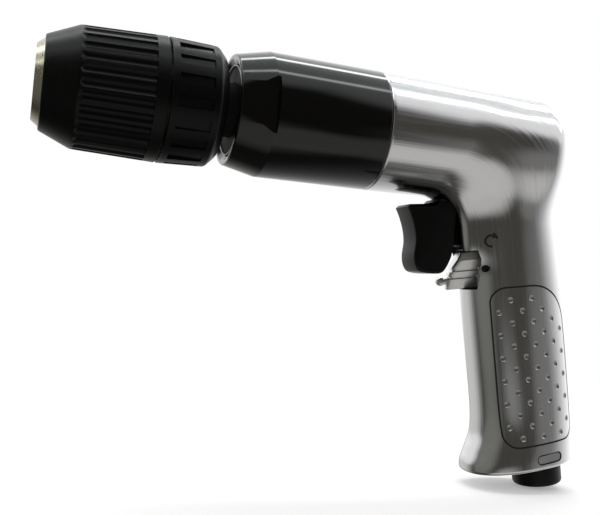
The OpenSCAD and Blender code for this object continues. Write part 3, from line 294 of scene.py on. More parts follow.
@dataclass
class Shell:
    """Closed surface in millimetres.

    Attributes:
        points: Places of the points, one a row.
        quads: Numbers of the four points of each face.
        caps: Numbers of the points round each flat end.
        chart: Places of each quad's corners on the piece's own map, in metres.
    """

    points: Array
    quads: Index
    caps: list[Index] = field(default_factory=list)
    chart: Array | None = None

    def volume(self) -> float:
        """Sums the signed pyramids that the faces span with the origin.

        Returns:
            The volume, negative if the faces point inwards.
        """
        a, b, c, d = (self.points[self.quads[:, k]] for k in range(4))
        total = np.sum(a * np.cross(b, c)) + np.sum(a * np.cross(c, d))
        for cap in self.caps:
            ring = self.points[cap]
            total += np.sum(ring[0] * np.cross(ring[1:-1], ring[2:]))
        return float(total) / 6

    def outward(self) -> "Shell":
        """Turns all faces round if the surface is inside out.

        Returns:
            The same shell.
        """
        if self.volume() < 0:
            self.quads = self.quads[:, ::-1]
            self.caps = [cap[::-1] for cap in self.caps]
            self.chart = None if self.chart is None else self.chart[:, ::-1]
        return self

    def moved(self, points: Array) -> "Shell":
        """New shell with the same faces on other points, facing outwards."""
        return Shell(points, self.quads, self.caps, self.chart).outward()

    def solid(self, name: str, finish: Finish) -> bpy.types.Object:
        """Puts the surface into a mesh object at the origin.

        Args:
            name: Name of the object.
            finish: Finish of all its faces.

        Returns:
            The linked object.
        """
        loops = np.concatenate([self.quads.ravel(), *self.caps])
        sizes = np.array([4] * len(self.quads) + [len(cap) for cap in self.caps])
        mesh = bpy.data.meshes.new(name)
        mesh.vertices.add(len(self.points))
        mesh.vertices.foreach_set("co", (self.points * MM).astype(np.float32).ravel())
        mesh.loops.add(len(loops))
        mesh.loops.foreach_set("vertex_index", loops.astype(np.int32))
        mesh.polygons.add(len(sizes))
        mesh.polygons.foreach_set("loop_start", (np.cumsum(sizes) - sizes).astype(np.int32))
        if self.chart is not None:
            places = np.zeros((len(loops), 2))
            places[: 4 * len(self.quads)] = self.chart.reshape(-1, 2)
            mesh.uv_layers.new(name="skin").data.foreach_set("uv", places.astype(np.float32).ravel())
        mesh.update(calc_edges=True)
        mesh.validate()
        mesh.materials.append(finish.material())
        return linked(name, mesh)


def joined(*coordinates: Array | float) -> Array:
    """Points whose coordinates are given one by one, spread over the same grid."""
    return np.stack(np.broadcast_arrays(*coordinates), axis=-1)


def unit(vectors: Array) -> Array:
    """Vectors of length 1 along the given ones."""
    return vectors / np.linalg.norm(vectors, axis=-1, keepdims=True)


def around(count: int) -> Array:
    """Even angles round a full turn, without the one that ends it."""
    return np.linspace(0, TURN, count, endpoint=False)


def circle(radius: float, sides: int = 96) -> Array:
    """Points round a circle about the origin."""
    turn = around(sides)
    return radius * joined(np.cos(turn), np.sin(turn))


def cubic(a: Array, b: Array, m: Array, n: Array, u: Array) -> Array:
    """Curve from a to b that leaves with slope m and arrives with slope n, read at shares u of its span."""
    return a + u * m + u**2 * (3 * (b - a) - 2 * m - n) + u**3 * (m + n - 2 * (b - a))


def blended(a: Array, b: Array, width: float) -> Array:
    """Lesser of two distances, less a quarter of the blend's width times their squared nearness."""
    near = np.maximum(width - np.abs(a - b), 0) / width
    return np.minimum(a, b) - near**2 * width / 4


def lofted(rows: Array, ring_of_rows: bool = False, chart: Array | None = None) -> Shell:
    """Skins rows of points: each cell of the grid is a face, each row closes on itself.

    Args:
        rows: Grid of points, row by row.
        ring_of_rows: True if the last row joins the first, otherwise flat caps close both ends.
        chart: Places of the grid on the piece's own map, one column wider than the grid.

    Returns:
        The closed shell.
    """
    count, wide = rows.shape[:2]
    i, j = np.indices((count if ring_of_rows else count - 1, wide))
    corners = ((i, j), (i, j + 1), (i + 1, j + 1), (i + 1, j))
    quads = np.stack([(a % count) * wide + b % wide for a, b in corners], axis=-1).reshape(-1, 4)
    places = None
    if chart is not None:
        places = np.stack([chart[a, b] for a, b in corners], axis=-2).reshape(-1, 4, 2)
    ends = [] if ring_of_rows else [np.arange(wide)[::-1], (count - 1) * wide + np.arange(wide)]
    return Shell(rows.reshape(-1, 3), quads, ends, places).outward()


def gathered(shells: Sequence[Shell]) -> Shell:
    """Numbers several separate shells on into one.

    Args:
        shells: Shells that don't touch.

    Returns:
        One shell of them all.
    """
    counts = [len(shell.points) for shell in shells]
    starts = np.cumsum([0, *counts[:-1]])
    return Shell(
        np.concatenate([shell.points for shell in shells]),
        np.concatenate([shell.quads + start for shell, start in zip(shells, starts)]),
        [cap + start for shell, start in zip(shells, starts) for cap in shell.caps],
    )


def rounded(corners: Array, radii: Sequence[float], steps: int = 5) -> Array:
    """Rounds the corners of a closed outline with arcs.

    An arc of radius r in a corner of half angle h starts r / tan(h) from it, round a centre r / sin(h) away.

    Args:
        corners: Corner points, one a row.
        radii: Radius at each corner.
        steps: Pieces of each arc.

    Returns:
        The outline's points in order.
    """
    back = unit(np.roll(corners, 1, axis=0) - corners)
    ahead = unit(np.roll(corners, -1, axis=0) - corners)
    half = np.arccos(np.clip(np.sum(back * ahead, axis=1), -1, 1))[:, None] / 2
    radius = np.asarray(radii, dtype=float)[:, None]
    centre = corners + unit(back + ahead) * radius / np.sin(half)
    first = corners + back * radius / np.tan(half) - centre
    last = corners + ahead * radius / np.tan(half) - centre
    sweep = math.pi - 2 * half[:, None]
    share = np.linspace(0, 1, steps + 1)[None, :, None]
    arcs = np.sin((1 - share) * sweep) * first[:, None] + np.sin(share * sweep) * last[:, None]
    return (centre[:, None] + arcs / np.sin(sweep)).reshape(-1, corners.shape[1])


def stepped(points: Array, step: float, closed: bool = False) -> Array:
    """Adds points along an outline so that none lie further apart than a step; its own points stay.

    Args:
        points: Points of the outline.
        step: Largest distance between points.
        closed: True if the outline runs back to its first point.

    Returns:
        The finer outline, without a repeated end on a closed one.
    """
    path = np.concatenate([points, points[:1]]) if closed else points
    run = np.concatenate([[0.0], np.cumsum(np.linalg.norm(np.diff(path, axis=0), axis=1))])
    places = np.union1d(run, np.linspace(0, run[-1], int(run[-1] / step) + 1))
    places = places[np.concatenate([[True], np.diff(places) > LEAST_STEP])]
    finer = np.stack([np.interp(places, run, path[:, k]) for k in range(path.shape[1])], axis=1)
    return finer[:-1] if closed else finer


def spline(points: Array, pieces: int) -> Array:
    """Runs a smooth curve through points, with tangents along the line between each point's neighbours.

    Args:
        points: Points that the curve passes.
        pieces: Steps between two points.

    Returns:
        Points along the curve, the first and last ones included.
    """
    slope = np.gradient(points, axis=0)
    u = np.linspace(0, 1, pieces, endpoint=False)[None, :, None]
    bent = cubic(points[:-1, None], points[1:, None], slope[:-1, None], slope[1:, None], u)
    return np.concatenate([bent.reshape(-1, points.shape[1]), points[-1:]])


def edged(*edges: tuple[float, float, Pairs]) -> Array:
    """Outline of stations and radii: each edge's points, set off from its corner's station and radius."""
    return np.concatenate([np.array(offsets) + [station, radius] for station, radius, offsets in edges])


def revolved(profile: Array, angles: Array, relief: Array | float = 0.0) -> Shell:
    """Closed profile of stations and radii, less a relief, turned about X: y = r sin(a), z = r cos(a)."""
    radius = profile[:, 1:] - relief
    return lofted(joined(profile[:, :1], radius * np.sin(angles), radius * np.cos(angles)), True)


def prism(outline: Array, low: float, high: float) -> Shell:
    """Outline of y and z carried straight along X between two stations."""
    return lofted(np.stack([np.insert(outline, 0, station, axis=1) for station in (low, high)]))


def box_outline(half_width: float, half_height: float, radius: float) -> Array:
    """Rectangle about the origin with round corners."""
    corners = np.array([[-1, -1], [1, -1], [1, 1], [-1, 1]]) * [half_width, half_height]
    return rounded(corners, np.full(4, radius))


def enclosed(spots: Array, outline: Array) -> Array:
    """True for each spot round which a closed outline turns fully, by the angles between its points."""
    away = outline @ [1, 1j] - (spots @ [1, 1j])[:, None]
    return np.abs(np.angle(np.roll(away, -1, axis=1) / away).sum(axis=1)) > math.pi


def carve(
    item: bpy.types.Object, cutters: Sequence[bpy.types.Object], extras: Sequence[bpy.types.Object] = ()
) -> None:
    """Joins solids to a piece, takes others away and keeps the result as its mesh.

    Args:
        item: Piece to change.
        cutters: Solids to take away, whose finish the cut faces get; they are removed.
        extras: Solids to join on first; they are removed too.
    """
    steps = [(extra, "UNION") for extra in extras] + [(cutter, "DIFFERENCE") for cutter in cutters]
    for other, operation in steps:
        change = item.modifiers.new(other.name, "BOOLEAN")
        change.operation = operation
        change.solver = "MANIFOLD"
        change.material_mode = "TRANSFER"
        change.object = other
    bpy.context.view_layer.update()
    whole = item.evaluated_get(bpy.context.evaluated_depsgraph_get())
    mesh = bpy.data.meshes.new_from_object(whole)
    item.modifiers.clear()
    item.data = mesh
    for other, _ in steps:
        bpy.data.objects.remove(other)


def soften(item: bpy.types.Object, sharp: float = SHARP) -> None:
    """Shades a piece smooth, with hard edges where its faces turn by more than an angle in degrees."""
    item.data.shade_smooth()
    item.data.set_sharp_from_angle(angle=math.radians(sharp))


def settle(item: bpy.types.Object, node: str, sharp: float | None = SHARP) -> None:
    """Shades a finished piece and puts it in the place of a CAD node.

    Args:
        item: Finished piece.
        node: CAD node that it stands for.
        sharp: Angle past which its edges are hard; None if it is shaded already.
    """
    if sharp is not None:
        soften(item, sharp)
    body = next(name for name, nodes in frame["record"]["behaviour"]["bodies"].items() if node in nodes)
    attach(item, body)
    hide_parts(node)
    LOG.info("%s: %d faces on %s", item.name, len(item.data.polygons), body)


@dataclass
class Chuck:
    """Keyless chuck's two grip sleeves.

    Attributes are sizes in millimetres; stations count from the nose. An edge is a row of points, set off
    along the axis and outwards from the corner that they break.
    """

    x_edge: float = 2.5
    x_shoulder: float = 13.2
    x_part: float = 41.8
    x_back: float = 61.6
    x_nut: float = 14.6
    x_body: float = 22.7
    edge_r: float = 15.8
    shoulder_r: float = 20.5
    full_r: float = 21.5
    nose_hole_r: float = 14.8
    jacket_hole_r: float = 17.95
    room_r: float = 18.68
    body_hole_r: float = 16.85
    rear_shoulder_r: float = 20.9
    rear_back_r: float = 17.8
    rear_chamfer: float = 3.0
    parting: float = 0.6
    nose_edge: Pairs = ((0.0, -0.5), (0.15, -0.12), (0.5, 0.12))
    shoulder_edge: Pairs = ((-0.7, -0.32), (0.0, -0.06), (0.7, 0.02))
    band_edge: Pairs = ((-0.06, -0.15), (0.06, -0.15))
    end_edge: Pairs = ((-0.3, 0.0), (0.0, -0.3))
    start_edge: Pairs = ((0.0, -0.3), (0.3, 0.0))
    rear_edge: Pairs = ((-0.4, 0.01), (0.3, -0.32))
    back_edge: Pairs = ((-0.4, 0.4), (0.0, -0.2))
    flutes: int = 30
    flute_r: float = 1.9
    flute_depth: float = 0.8
    flute_band: float = 4.3
    flute_columns: int = 10
    land_columns: int = 5
    slots: int = 18
    slot_w: float = 3.9
    slot_depth: float = 0.5
    slot_band: float = 2.4
    slot_slope: float = 0.12
    slot_fall: float = 0.08
    slot_columns: int = 7
    gap_columns: int = 10
    front_step: float = 0.45
    rear_step: float = 1.2
    margin: float = 0.01

    def build(self) -> None:
        """Makes both sleeves."""
        self.front_sleeve()
        self.rear_sleeve()

    @staticmethod
    def repeated(cell: Array, count: int) -> tuple[Array, Array]:
        """Repeats the columns of a cell round the sleeve.

        Args:
            cell: Angles of its columns, from the middle of one recess on towards the next.
            count: Number of cells.

        Returns:
            The angles of all columns, and how far each is from the middle of the nearest recess.
        """
        pitch = TURN / count
        angles = (np.arange(count)[:, None] * pitch + cell).ravel()
        return angles, np.tile(np.where(cell > pitch / 2, cell - pitch, cell), count)

    @staticmethod
    def sleeve(node: str, outer: Array, inner: Array, angles: Array, depth: Array) -> None:
        """Turns a sleeve from its wall's outline.

        Args:
            node: CAD node that it stands for.
            outer: Outline of its outside.
            inner: Outline of its hollow.
            angles: Angles of the columns.
            depth: How deep the outside is cut at each point.
        """
        relief = np.concatenate([depth, np.zeros((len(inner), len(angles)))])
        shell = revolved(np.concatenate([outer, inner]), angles, relief)
        settle(shell.solid(f"{node}_piece", CHUCK_NYLON), node)

    def front_sleeve(self) -> None:
        """Cone sleeve with long flutes.

        A flute is a round-floored groove: its depth is the height of a ball-ended rod of radius flute_r
        that stands flute_depth into the skin, and it ends square at the smooth band.
        """
        end = self.x_part - self.parting / 2
        band = end - self.flute_band
        outer = stepped(edged(
            (self.x_edge, self.edge_r, self.nose_edge),
            (self.x_shoulder, self.shoulder_r, self.shoulder_edge),
            (band, self.full_r, self.band_edge),
            (end, self.full_r, self.end_edge),
        ), self.front_step)
        inner = np.array([
            [end, self.room_r], [self.x_body, self.room_r], [self.x_body, self.jacket_hole_r],
            [self.x_nut, self.jacket_hole_r], [self.x_nut, self.nose_hole_r],
            [self.x_edge, self.nose_hole_r],
        ])
        half = math.sqrt(self.flute_r**2 - (self.flute_r - self.flute_depth) ** 2) / self.shoulder_r
        land = np.linspace(half, TURN / self.flutes - half, self.land_columns)[1:-1]
        cell = np.concatenate([np.linspace(-half, half, self.flute_columns), land])
        angles, off = self.repeated(cell, self.flutes)
        aside = off * outer[:, 1:]
        ahead = np.maximum(self.x_shoulder + self.flute_r - outer[:, :1], 0)
        ball = np.sqrt(np.maximum(self.flute_r**2 - aside**2 - ahead**2, 0))
        depth = np.maximum(ball - self.flute_r + self.flute_depth, 0) * (outer[:, :1] < band)
        self.sleeve("front_sleeve", outer, inner, angles, depth)

    def rear_sleeve(self) -> None:
        """Holding sleeve with a row of sunk slots and a chamfered back.

        A slot is a flat-floored box whose walls rise over slot_slope.
        """
        start = self.x_part + self.parting / 2
        shoulder = self.x_back - self.rear_chamfer
        low = start + self.slot_band
        high = shoulder - self.slot_band
        outer = stepped(edged(
            (start, self.full_r, self.start_edge),
            (low, self.full_r, ((0.0, -self.slot_fall), (self.slot_slope, -self.slot_fall))),
            (high, self.rear_shoulder_r, ((-self.slot_slope, self.slot_fall), (0.0, self.slot_fall))),
            (shoulder, self.rear_shoulder_r, self.rear_edge),
            (self.x_back, self.rear_back_r, self.back_edge),
        ), self.rear_step)
        inner = np.array([[self.x_back, self.body_hole_r], [start, self.body_hole_r]])
        half = math.asin(self.slot_w / 2 / self.full_r)
        wall = self.slot_slope / self.full_r
        gap = np.linspace(half, TURN / self.slots - half, self.gap_columns)
        cell = np.concatenate([np.linspace(wall - half, half - wall, self.slot_columns), gap])
        angles, off = self.repeated(cell, self.slots)
        station, aside = outer[:, :1], np.abs(off)
        within = (aside < half - wall / 2) & (station > low + self.margin) & (station < high - self.margin)
        floor = (self.rear_shoulder_r - self.slot_depth) / np.cos(aside)
        self.sleeve("rear_sleeve", outer, inner, angles, np.where(within, outer[:, 1:] - floor, 0))


@dataclass
class GearCase:
    """Black gear case with two wrench flats; sizes in millimetres."""

    x_front: float = 65.4
    x_full: float = 77.3
    x_joint: float = X_JOINT
    x_recess: float = 67.8
    x_bearings: float = 82.4
    x_carrier: float = 86.7
    front_r: float = 19.5
    full_r: float = 22.25
    back_r: float = 22.0
    recess_r: float = 16.0
    recess_edge: float = 0.6
    bearing_r: float = 14.0
    carrier_r: float = 15.8
    seat_r: float = 19.0
    lip: float = 1.5
    outer_rounds: tuple[float, ...] = (0.3, 0.6, 0.6, 0.45)
    inner_round: float = 0.05
    round_steps: int = 6
    columns: int = 256
    sharp: float = 24.0
    flat_w: float = 40.0
    flat_run: float = 1.0
    flat_round: float = 0.1
    rim_r: float = 15.65
    rim_wire: float = 0.24
    rim_sides: int = 16
    rim_columns: int = 128
    x_rim: float = 66.25

    def build(self) -> None:
        """Makes the case and the bright rim of the dust ring in its mouth."""
        self.case()
        self.dust_rim()

    def dust_rim(self) -> None:
        """Rolled rim on the dust ring: a wire's circle turned about the axis."""
        wire = circle(self.rim_wire, self.rim_sides) + [self.x_rim, self.rim_r]
        item = revolved(wire, around(self.rim_columns)).solid("dust_ring_rim", GEAR_STEEL)
        soften(item)
        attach(item, "housing")
        LOG.info("%s: %d faces", item.name, len(item.data.polygons))

    def case(self) -> None:
        """Turns the case from its wall's outline and mills the two flats."""
        outer = [
            [self.x_front, self.front_r - self.lip], [self.x_front, self.front_r],
            [self.x_full, self.full_r], [self.x_joint, self.back_r],
        ]
        inner = [
            [self.x_joint, self.seat_r], [self.x_carrier, self.seat_r], [self.x_carrier, self.carrier_r],
            [self.x_bearings, self.carrier_r], [self.x_bearings, self.bearing_r],
            [self.x_recess, self.bearing_r], [self.x_recess, self.recess_r],
            [self.x_recess - self.recess_edge, self.recess_r],
        ]
        radii = [*self.outer_rounds, *np.full(len(inner), self.inner_round)]
        profile = rounded(np.array(outer + inner), radii, self.round_steps)
        item = revolved(profile, around(self.columns)).solid("gear_case_piece", BLACK_ENAMEL)
        reach = self.full_r
        block = box_outline(reach / 2, 2 * reach, self.flat_round)
        flats = [
            prism(
                block + [side.value * (self.flat_w + reach) / 2, 0],
                self.x_front - reach, self.x_full + self.flat_run,
            ).solid("flat_cut", BLACK_ENAMEL)
            for side in Side
        ]
        carve(item, flats)
        settle(item, "gear_case", self.sharp)


@dataclass(frozen=True)
class Handle:
    """Handle's own frame: q runs back across it, t runs down along it from the barrel's axis."""

    x_axis: float = 175.0
    lean: float = math.radians(10.1)

    def place(self, q: Array | float, y: Array | float, t: Array | float) -> Array:
        """Points of the part at places in the handle's frame."""
        c, s = math.cos(self.lean), math.sin(self.lean)
        return joined(self.x_axis + q * c + t * s, y, q * s - t * c)

    def read(self, points: Array) -> tuple[Array, Array]:
        """Values of q and t at points of the part."""
        x, z, c, s = points[..., 0] - self.x_axis, points[..., 2], math.cos(self.lean), math.sin(self.lean)
        return x * c + z * s, x * s - z * c

    def rod(self, q: float, low: float, high: float, radius: float) -> Shell:
        """Round rod along the handle between two distances from the barrel's axis."""
        ring = circle(radius)
        return lofted(self.place(q + ring[:, 0], ring[:, 1], np.array([[low], [high]])))


@dataclass(frozen=True)
class LeverSeat:
    """Place, swing and width of the reversing lever, which its window in the casting follows; in mm."""

    axis_q: float = -8.0
    bottom_t: float = 52.8
    swing: float = math.radians(20)
    rises: tuple[float, ...] = (0.0, 7.4, 11.0, 14.6)
    half_widths: tuple[float, ...] = (2.7, 5.1, 6.2, 6.2)

    def half_width(self, rise: Array) -> Array:
        """Half width of the lever at heights above its lower face, narrower towards the finger tab."""
        return np.interp(rise, self.rises, self.half_widths)


@dataclass
class Skin:
    """Outside of the casting, in which barrel and handle run into each other.

    Attributes are sizes in millimetres, the handle's outline as shares of its length, half depth and half
    width at stations along it, and numbers of rows and steps.
    """

    handle: Handle
    x_spigot: float = 108.7
    x_joint: float = X_JOINT
    spigot_r: float = 18.95
    barrel_len: float = 75.0
    barrel_r: float = 22.0
    barrel_draft: float = 1.3
    back_round: float = 7.0
    handle_len: float = HANDLE_LEN
    half_depth: float = 20.0
    half_width: float = 15.5
    power: float = 2.3
    stations: tuple[float, ...] = (-0.1, 0.08, 0.2, 0.34, 0.48, 0.66, 0.82, 0.885, 0.935, 0.97, 1.0)
    fronts: tuple[float, ...] = (0.92, 0.92, 0.94, 0.98, 1.0, 1.0, 1.01, 1.07, 1.22, 1.33, 1.36)
    backs: tuple[float, ...] = (0.94, 0.92, 0.9, 0.95, 0.99, 1.0, 0.97, 0.95, 0.93, 0.91, 0.9)
    widths: tuple[float, ...] = (1.05, 1.05, 1.03, 1.0, 1.0, 1.0, 1.0, 1.01, 1.04, 1.06, 1.06)
    cap: float = 4.0
    cap_round: float = 10.0
    blend_r: float = 12.0
    boss_q: float = -15.0
    boss_t: float = 30.0
    boss_deep: float = 8.8
    boss_wide: float = 9.6
    boss_high: float = 13.0
    boss_power: int = 4
    boss_blend: float = 5.0
    foot_edge: float = 1.4
    joint_edge: float = 1.4
    pivot_forward: float = 27.0
    pivot_drop: float = 30.0
    rays: int = 256
    barrel_rows: int = 30
    fan_rows: int = 64
    grip_rows: int = 112
    joint_rows: int = 5
    foot_rows: int = 7
    halvings: int = 36
    probe: float = 0.01

    def share(self, values: Sequence[float], at: Array) -> Array:
        """Reads a table of shares on a smooth curve through its points.

        Each span is the cubic whose ends have the slope between the neighbouring points.

        Args:
            values: Shares at the stations.
            at: Places to read, as shares of the handle's length.

        Returns:
            The shares there.
        """
        xs, ys = np.array(self.stations), np.array(values)
        slope = np.concatenate([
            [(ys[1] - ys[0]) / (xs[1] - xs[0])], (ys[2:] - ys[:-2]) / (xs[2:] - xs[:-2]),
            [(ys[-1] - ys[-2]) / (xs[-1] - xs[-2])],
        ])
        i = np.clip(np.searchsorted(xs, at, side="right") - 1, 0, len(xs) - 2)
        span = xs[i + 1] - xs[i]
        u = np.clip((at - xs[i]) / span, 0, 1)
        return cubic(ys[i], ys[i + 1], slope[i] * span, slope[i + 1] * span, u)

    def reach(self, points: Array) -> Array:
        """Distance outside the casting: the barrel's and the handle's, blended where they are nearly equal.

        The barrel is a drafted cylinder with a rounded back. The handle is a leaning section with rounded
        sides of the given power and a rounded cap, blended with a boss round the trigger's slot, a ball of a
        higher power.

        Args:
            points: Places to test.

        Returns:
            The distances, negative inside.
        """
        x, y, z = np.moveaxis(points, -1, 0)
        radius = self.barrel_r - self.barrel_draft * (x - self.x_joint) / self.barrel_len - self.back_round
        past = x - (self.x_joint + self.barrel_len - self.back_round)
        out = np.hypot(y, z) - radius
        barrel = np.hypot(np.maximum(past, 0), np.maximum(out, 0)) - self.back_round
        barrel = barrel + np.minimum(np.maximum(past, out), 0)
        q, t = self.handle.read(points)
        at = t / self.handle_len
        front, back = (self.half_depth * self.share(shares, at) for shares in (self.fronts, self.backs))
        wide = self.half_width * self.share(self.widths, at)
        deep = (front + back) / 2
        off = np.abs(q - (back - front) / 2) / deep
        ring = (off**self.power + (np.abs(y) / wide) ** self.power) ** (1 / self.power) - 1
        grip = -blended(-ring * np.minimum(deep, wide), t + self.cap, self.cap_round)
        offsets = (
            (q - self.boss_q) / self.boss_deep, y / self.boss_wide, (t - self.boss_t) / self.boss_high,
        )
        ball = sum(np.abs(offset) ** self.boss_power for offset in offsets) ** (1 / self.boss_power)
        grip = blended(grip, (ball - 1) * self.boss_deep, self.boss_blend)
        return blended(barrel, grip, self.blend_r)

    def normal(self, points: Array) -> Array:
        """Outward direction of the skin, from differences of the distance over a short way."""
        shifts = np.eye(3) * self.probe
        return unit(np.stack([self.reach(points + s) - self.reach(points - s) for s in shifts], axis=-1))

    def to_skin(self, start: Array, way: Array) -> Array:
        """Points where rays from inside meet the skin, by halving.

        Args:
            start: Places inside the casting.
            way: Directions of length 1.

        Returns:
            The points on the skin.
        """
        low = np.zeros(np.broadcast_shapes(start.shape, way.shape)[:-1])
        high = np.full_like(low, self.barrel_len)
        for _ in range(self.halvings):
            mid = (low + high) / 2
            inside = self.reach(start + mid[..., None] * way) < 0
            low, high = np.where(inside, mid, low), np.where(inside, high, mid)
        return start + high[..., None] * way

    def planes(self) -> tuple[Array, Array]:
        """Section planes of the skin: across the barrel, in a fan round the inner corner, across the handle.

        Returns:
            A start point inside each plane's section and the direction away from the fan's line.
        """
        pivot = np.array([self.handle.x_axis - self.pivot_forward, 0, -self.pivot_drop])
        lean = self.handle.lean
        pivot_t = self.handle.read(pivot)[1]
        reach = np.linalg.norm(self.handle.place(0.0, 0.0, pivot_t) - pivot)
        x = np.linspace(self.x_joint + self.joint_edge, pivot[0], self.barrel_rows, endpoint=False)
        turn = np.linspace(0, QUARTER - lean, self.fan_rows, endpoint=False)
        fan_ways = joined(np.sin(turn), 0.0, np.cos(turn))
        far = self.pivot_drop + (reach - self.pivot_drop) * turn / (QUARTER - lean)
        t = np.linspace(pivot_t, self.handle_len - self.foot_edge, self.grip_rows)
        starts = [joined(x, 0.0, 0.0), pivot + far[:, None] * fan_ways, self.handle.place(0.0, 0.0, t)]
        back = np.array([math.cos(lean), 0, math.sin(lean)])
        ways = [np.tile([0.0, 0.0, 1.0], (len(x), 1)), fan_ways, np.tile(back, (len(t), 1))]
        return np.concatenate(starts), np.concatenate(ways)

    def shell(self) -> Shell:
        """Skin of the casting as one grid, with the spigot in front and round edges at joint and foot.

        Returns:
            The closed shell, mapped along and round itself.
        """
        turn = around(self.rays)[:, None]
        start, away = self.planes()
        ways = np.cos(turn) * away[:, None] + np.sin(turn) * np.array([0.0, 1.0, 0.0])
        body = self.to_skin(start[:, None], ways)
        ring = np.concatenate([0 * turn, np.sin(turn), np.cos(turn)], axis=1)
        edge = np.linspace(0, QUARTER, self.joint_rows)[:-1]
        round_r = self.barrel_r - self.joint_edge * (1 - np.sin(edge))
        round_x = self.x_joint + self.joint_edge * (1 - np.cos(edge))
        front_r = np.concatenate([[self.spigot_r, self.spigot_r], round_r])
        front_x = np.concatenate([[self.x_spigot, self.x_joint], round_x])
        front = front_r[:, None, None] * ring + joined(front_x, 0.0, 0.0)[:, None]
        fall = np.linspace(0, QUARTER, self.foot_rows)[1:]
        foot_t = self.handle_len - self.foot_edge * (1 - np.sin(fall))
        foot_start = self.handle.place(0.0, 0.0, foot_t)[:, None]
        foot = self.to_skin(foot_start, np.broadcast_to(ways[-1], (len(fall), *ways[-1].shape)))
        foot = foot - self.foot_edge * (1 - np.cos(fall))[:, None, None] * ways[-1]
        rows = np.concatenate([front, body, foot])
        run = np.cumsum(np.linalg.norm(np.diff(rows, axis=0, prepend=rows[:1]), axis=2), axis=0)
        run = np.concatenate([run, run[:, :1]], axis=1)
        girth = TURN * self.barrel_r * np.linspace(0, 1, self.rays + 1)
        return lofted(rows, chart=joined(run, girth) * MM)

    def on_side(self, spots: Array, side: Side) -> Array:
        """Points of the skin straight out to one side of places of q and t in the handle's middle plane."""
        way = np.array([0.0, float(side.value), 0.0])
        return self.to_skin(self.handle.place(spots[:, 0], 0.0, spots[:, 1]), way)


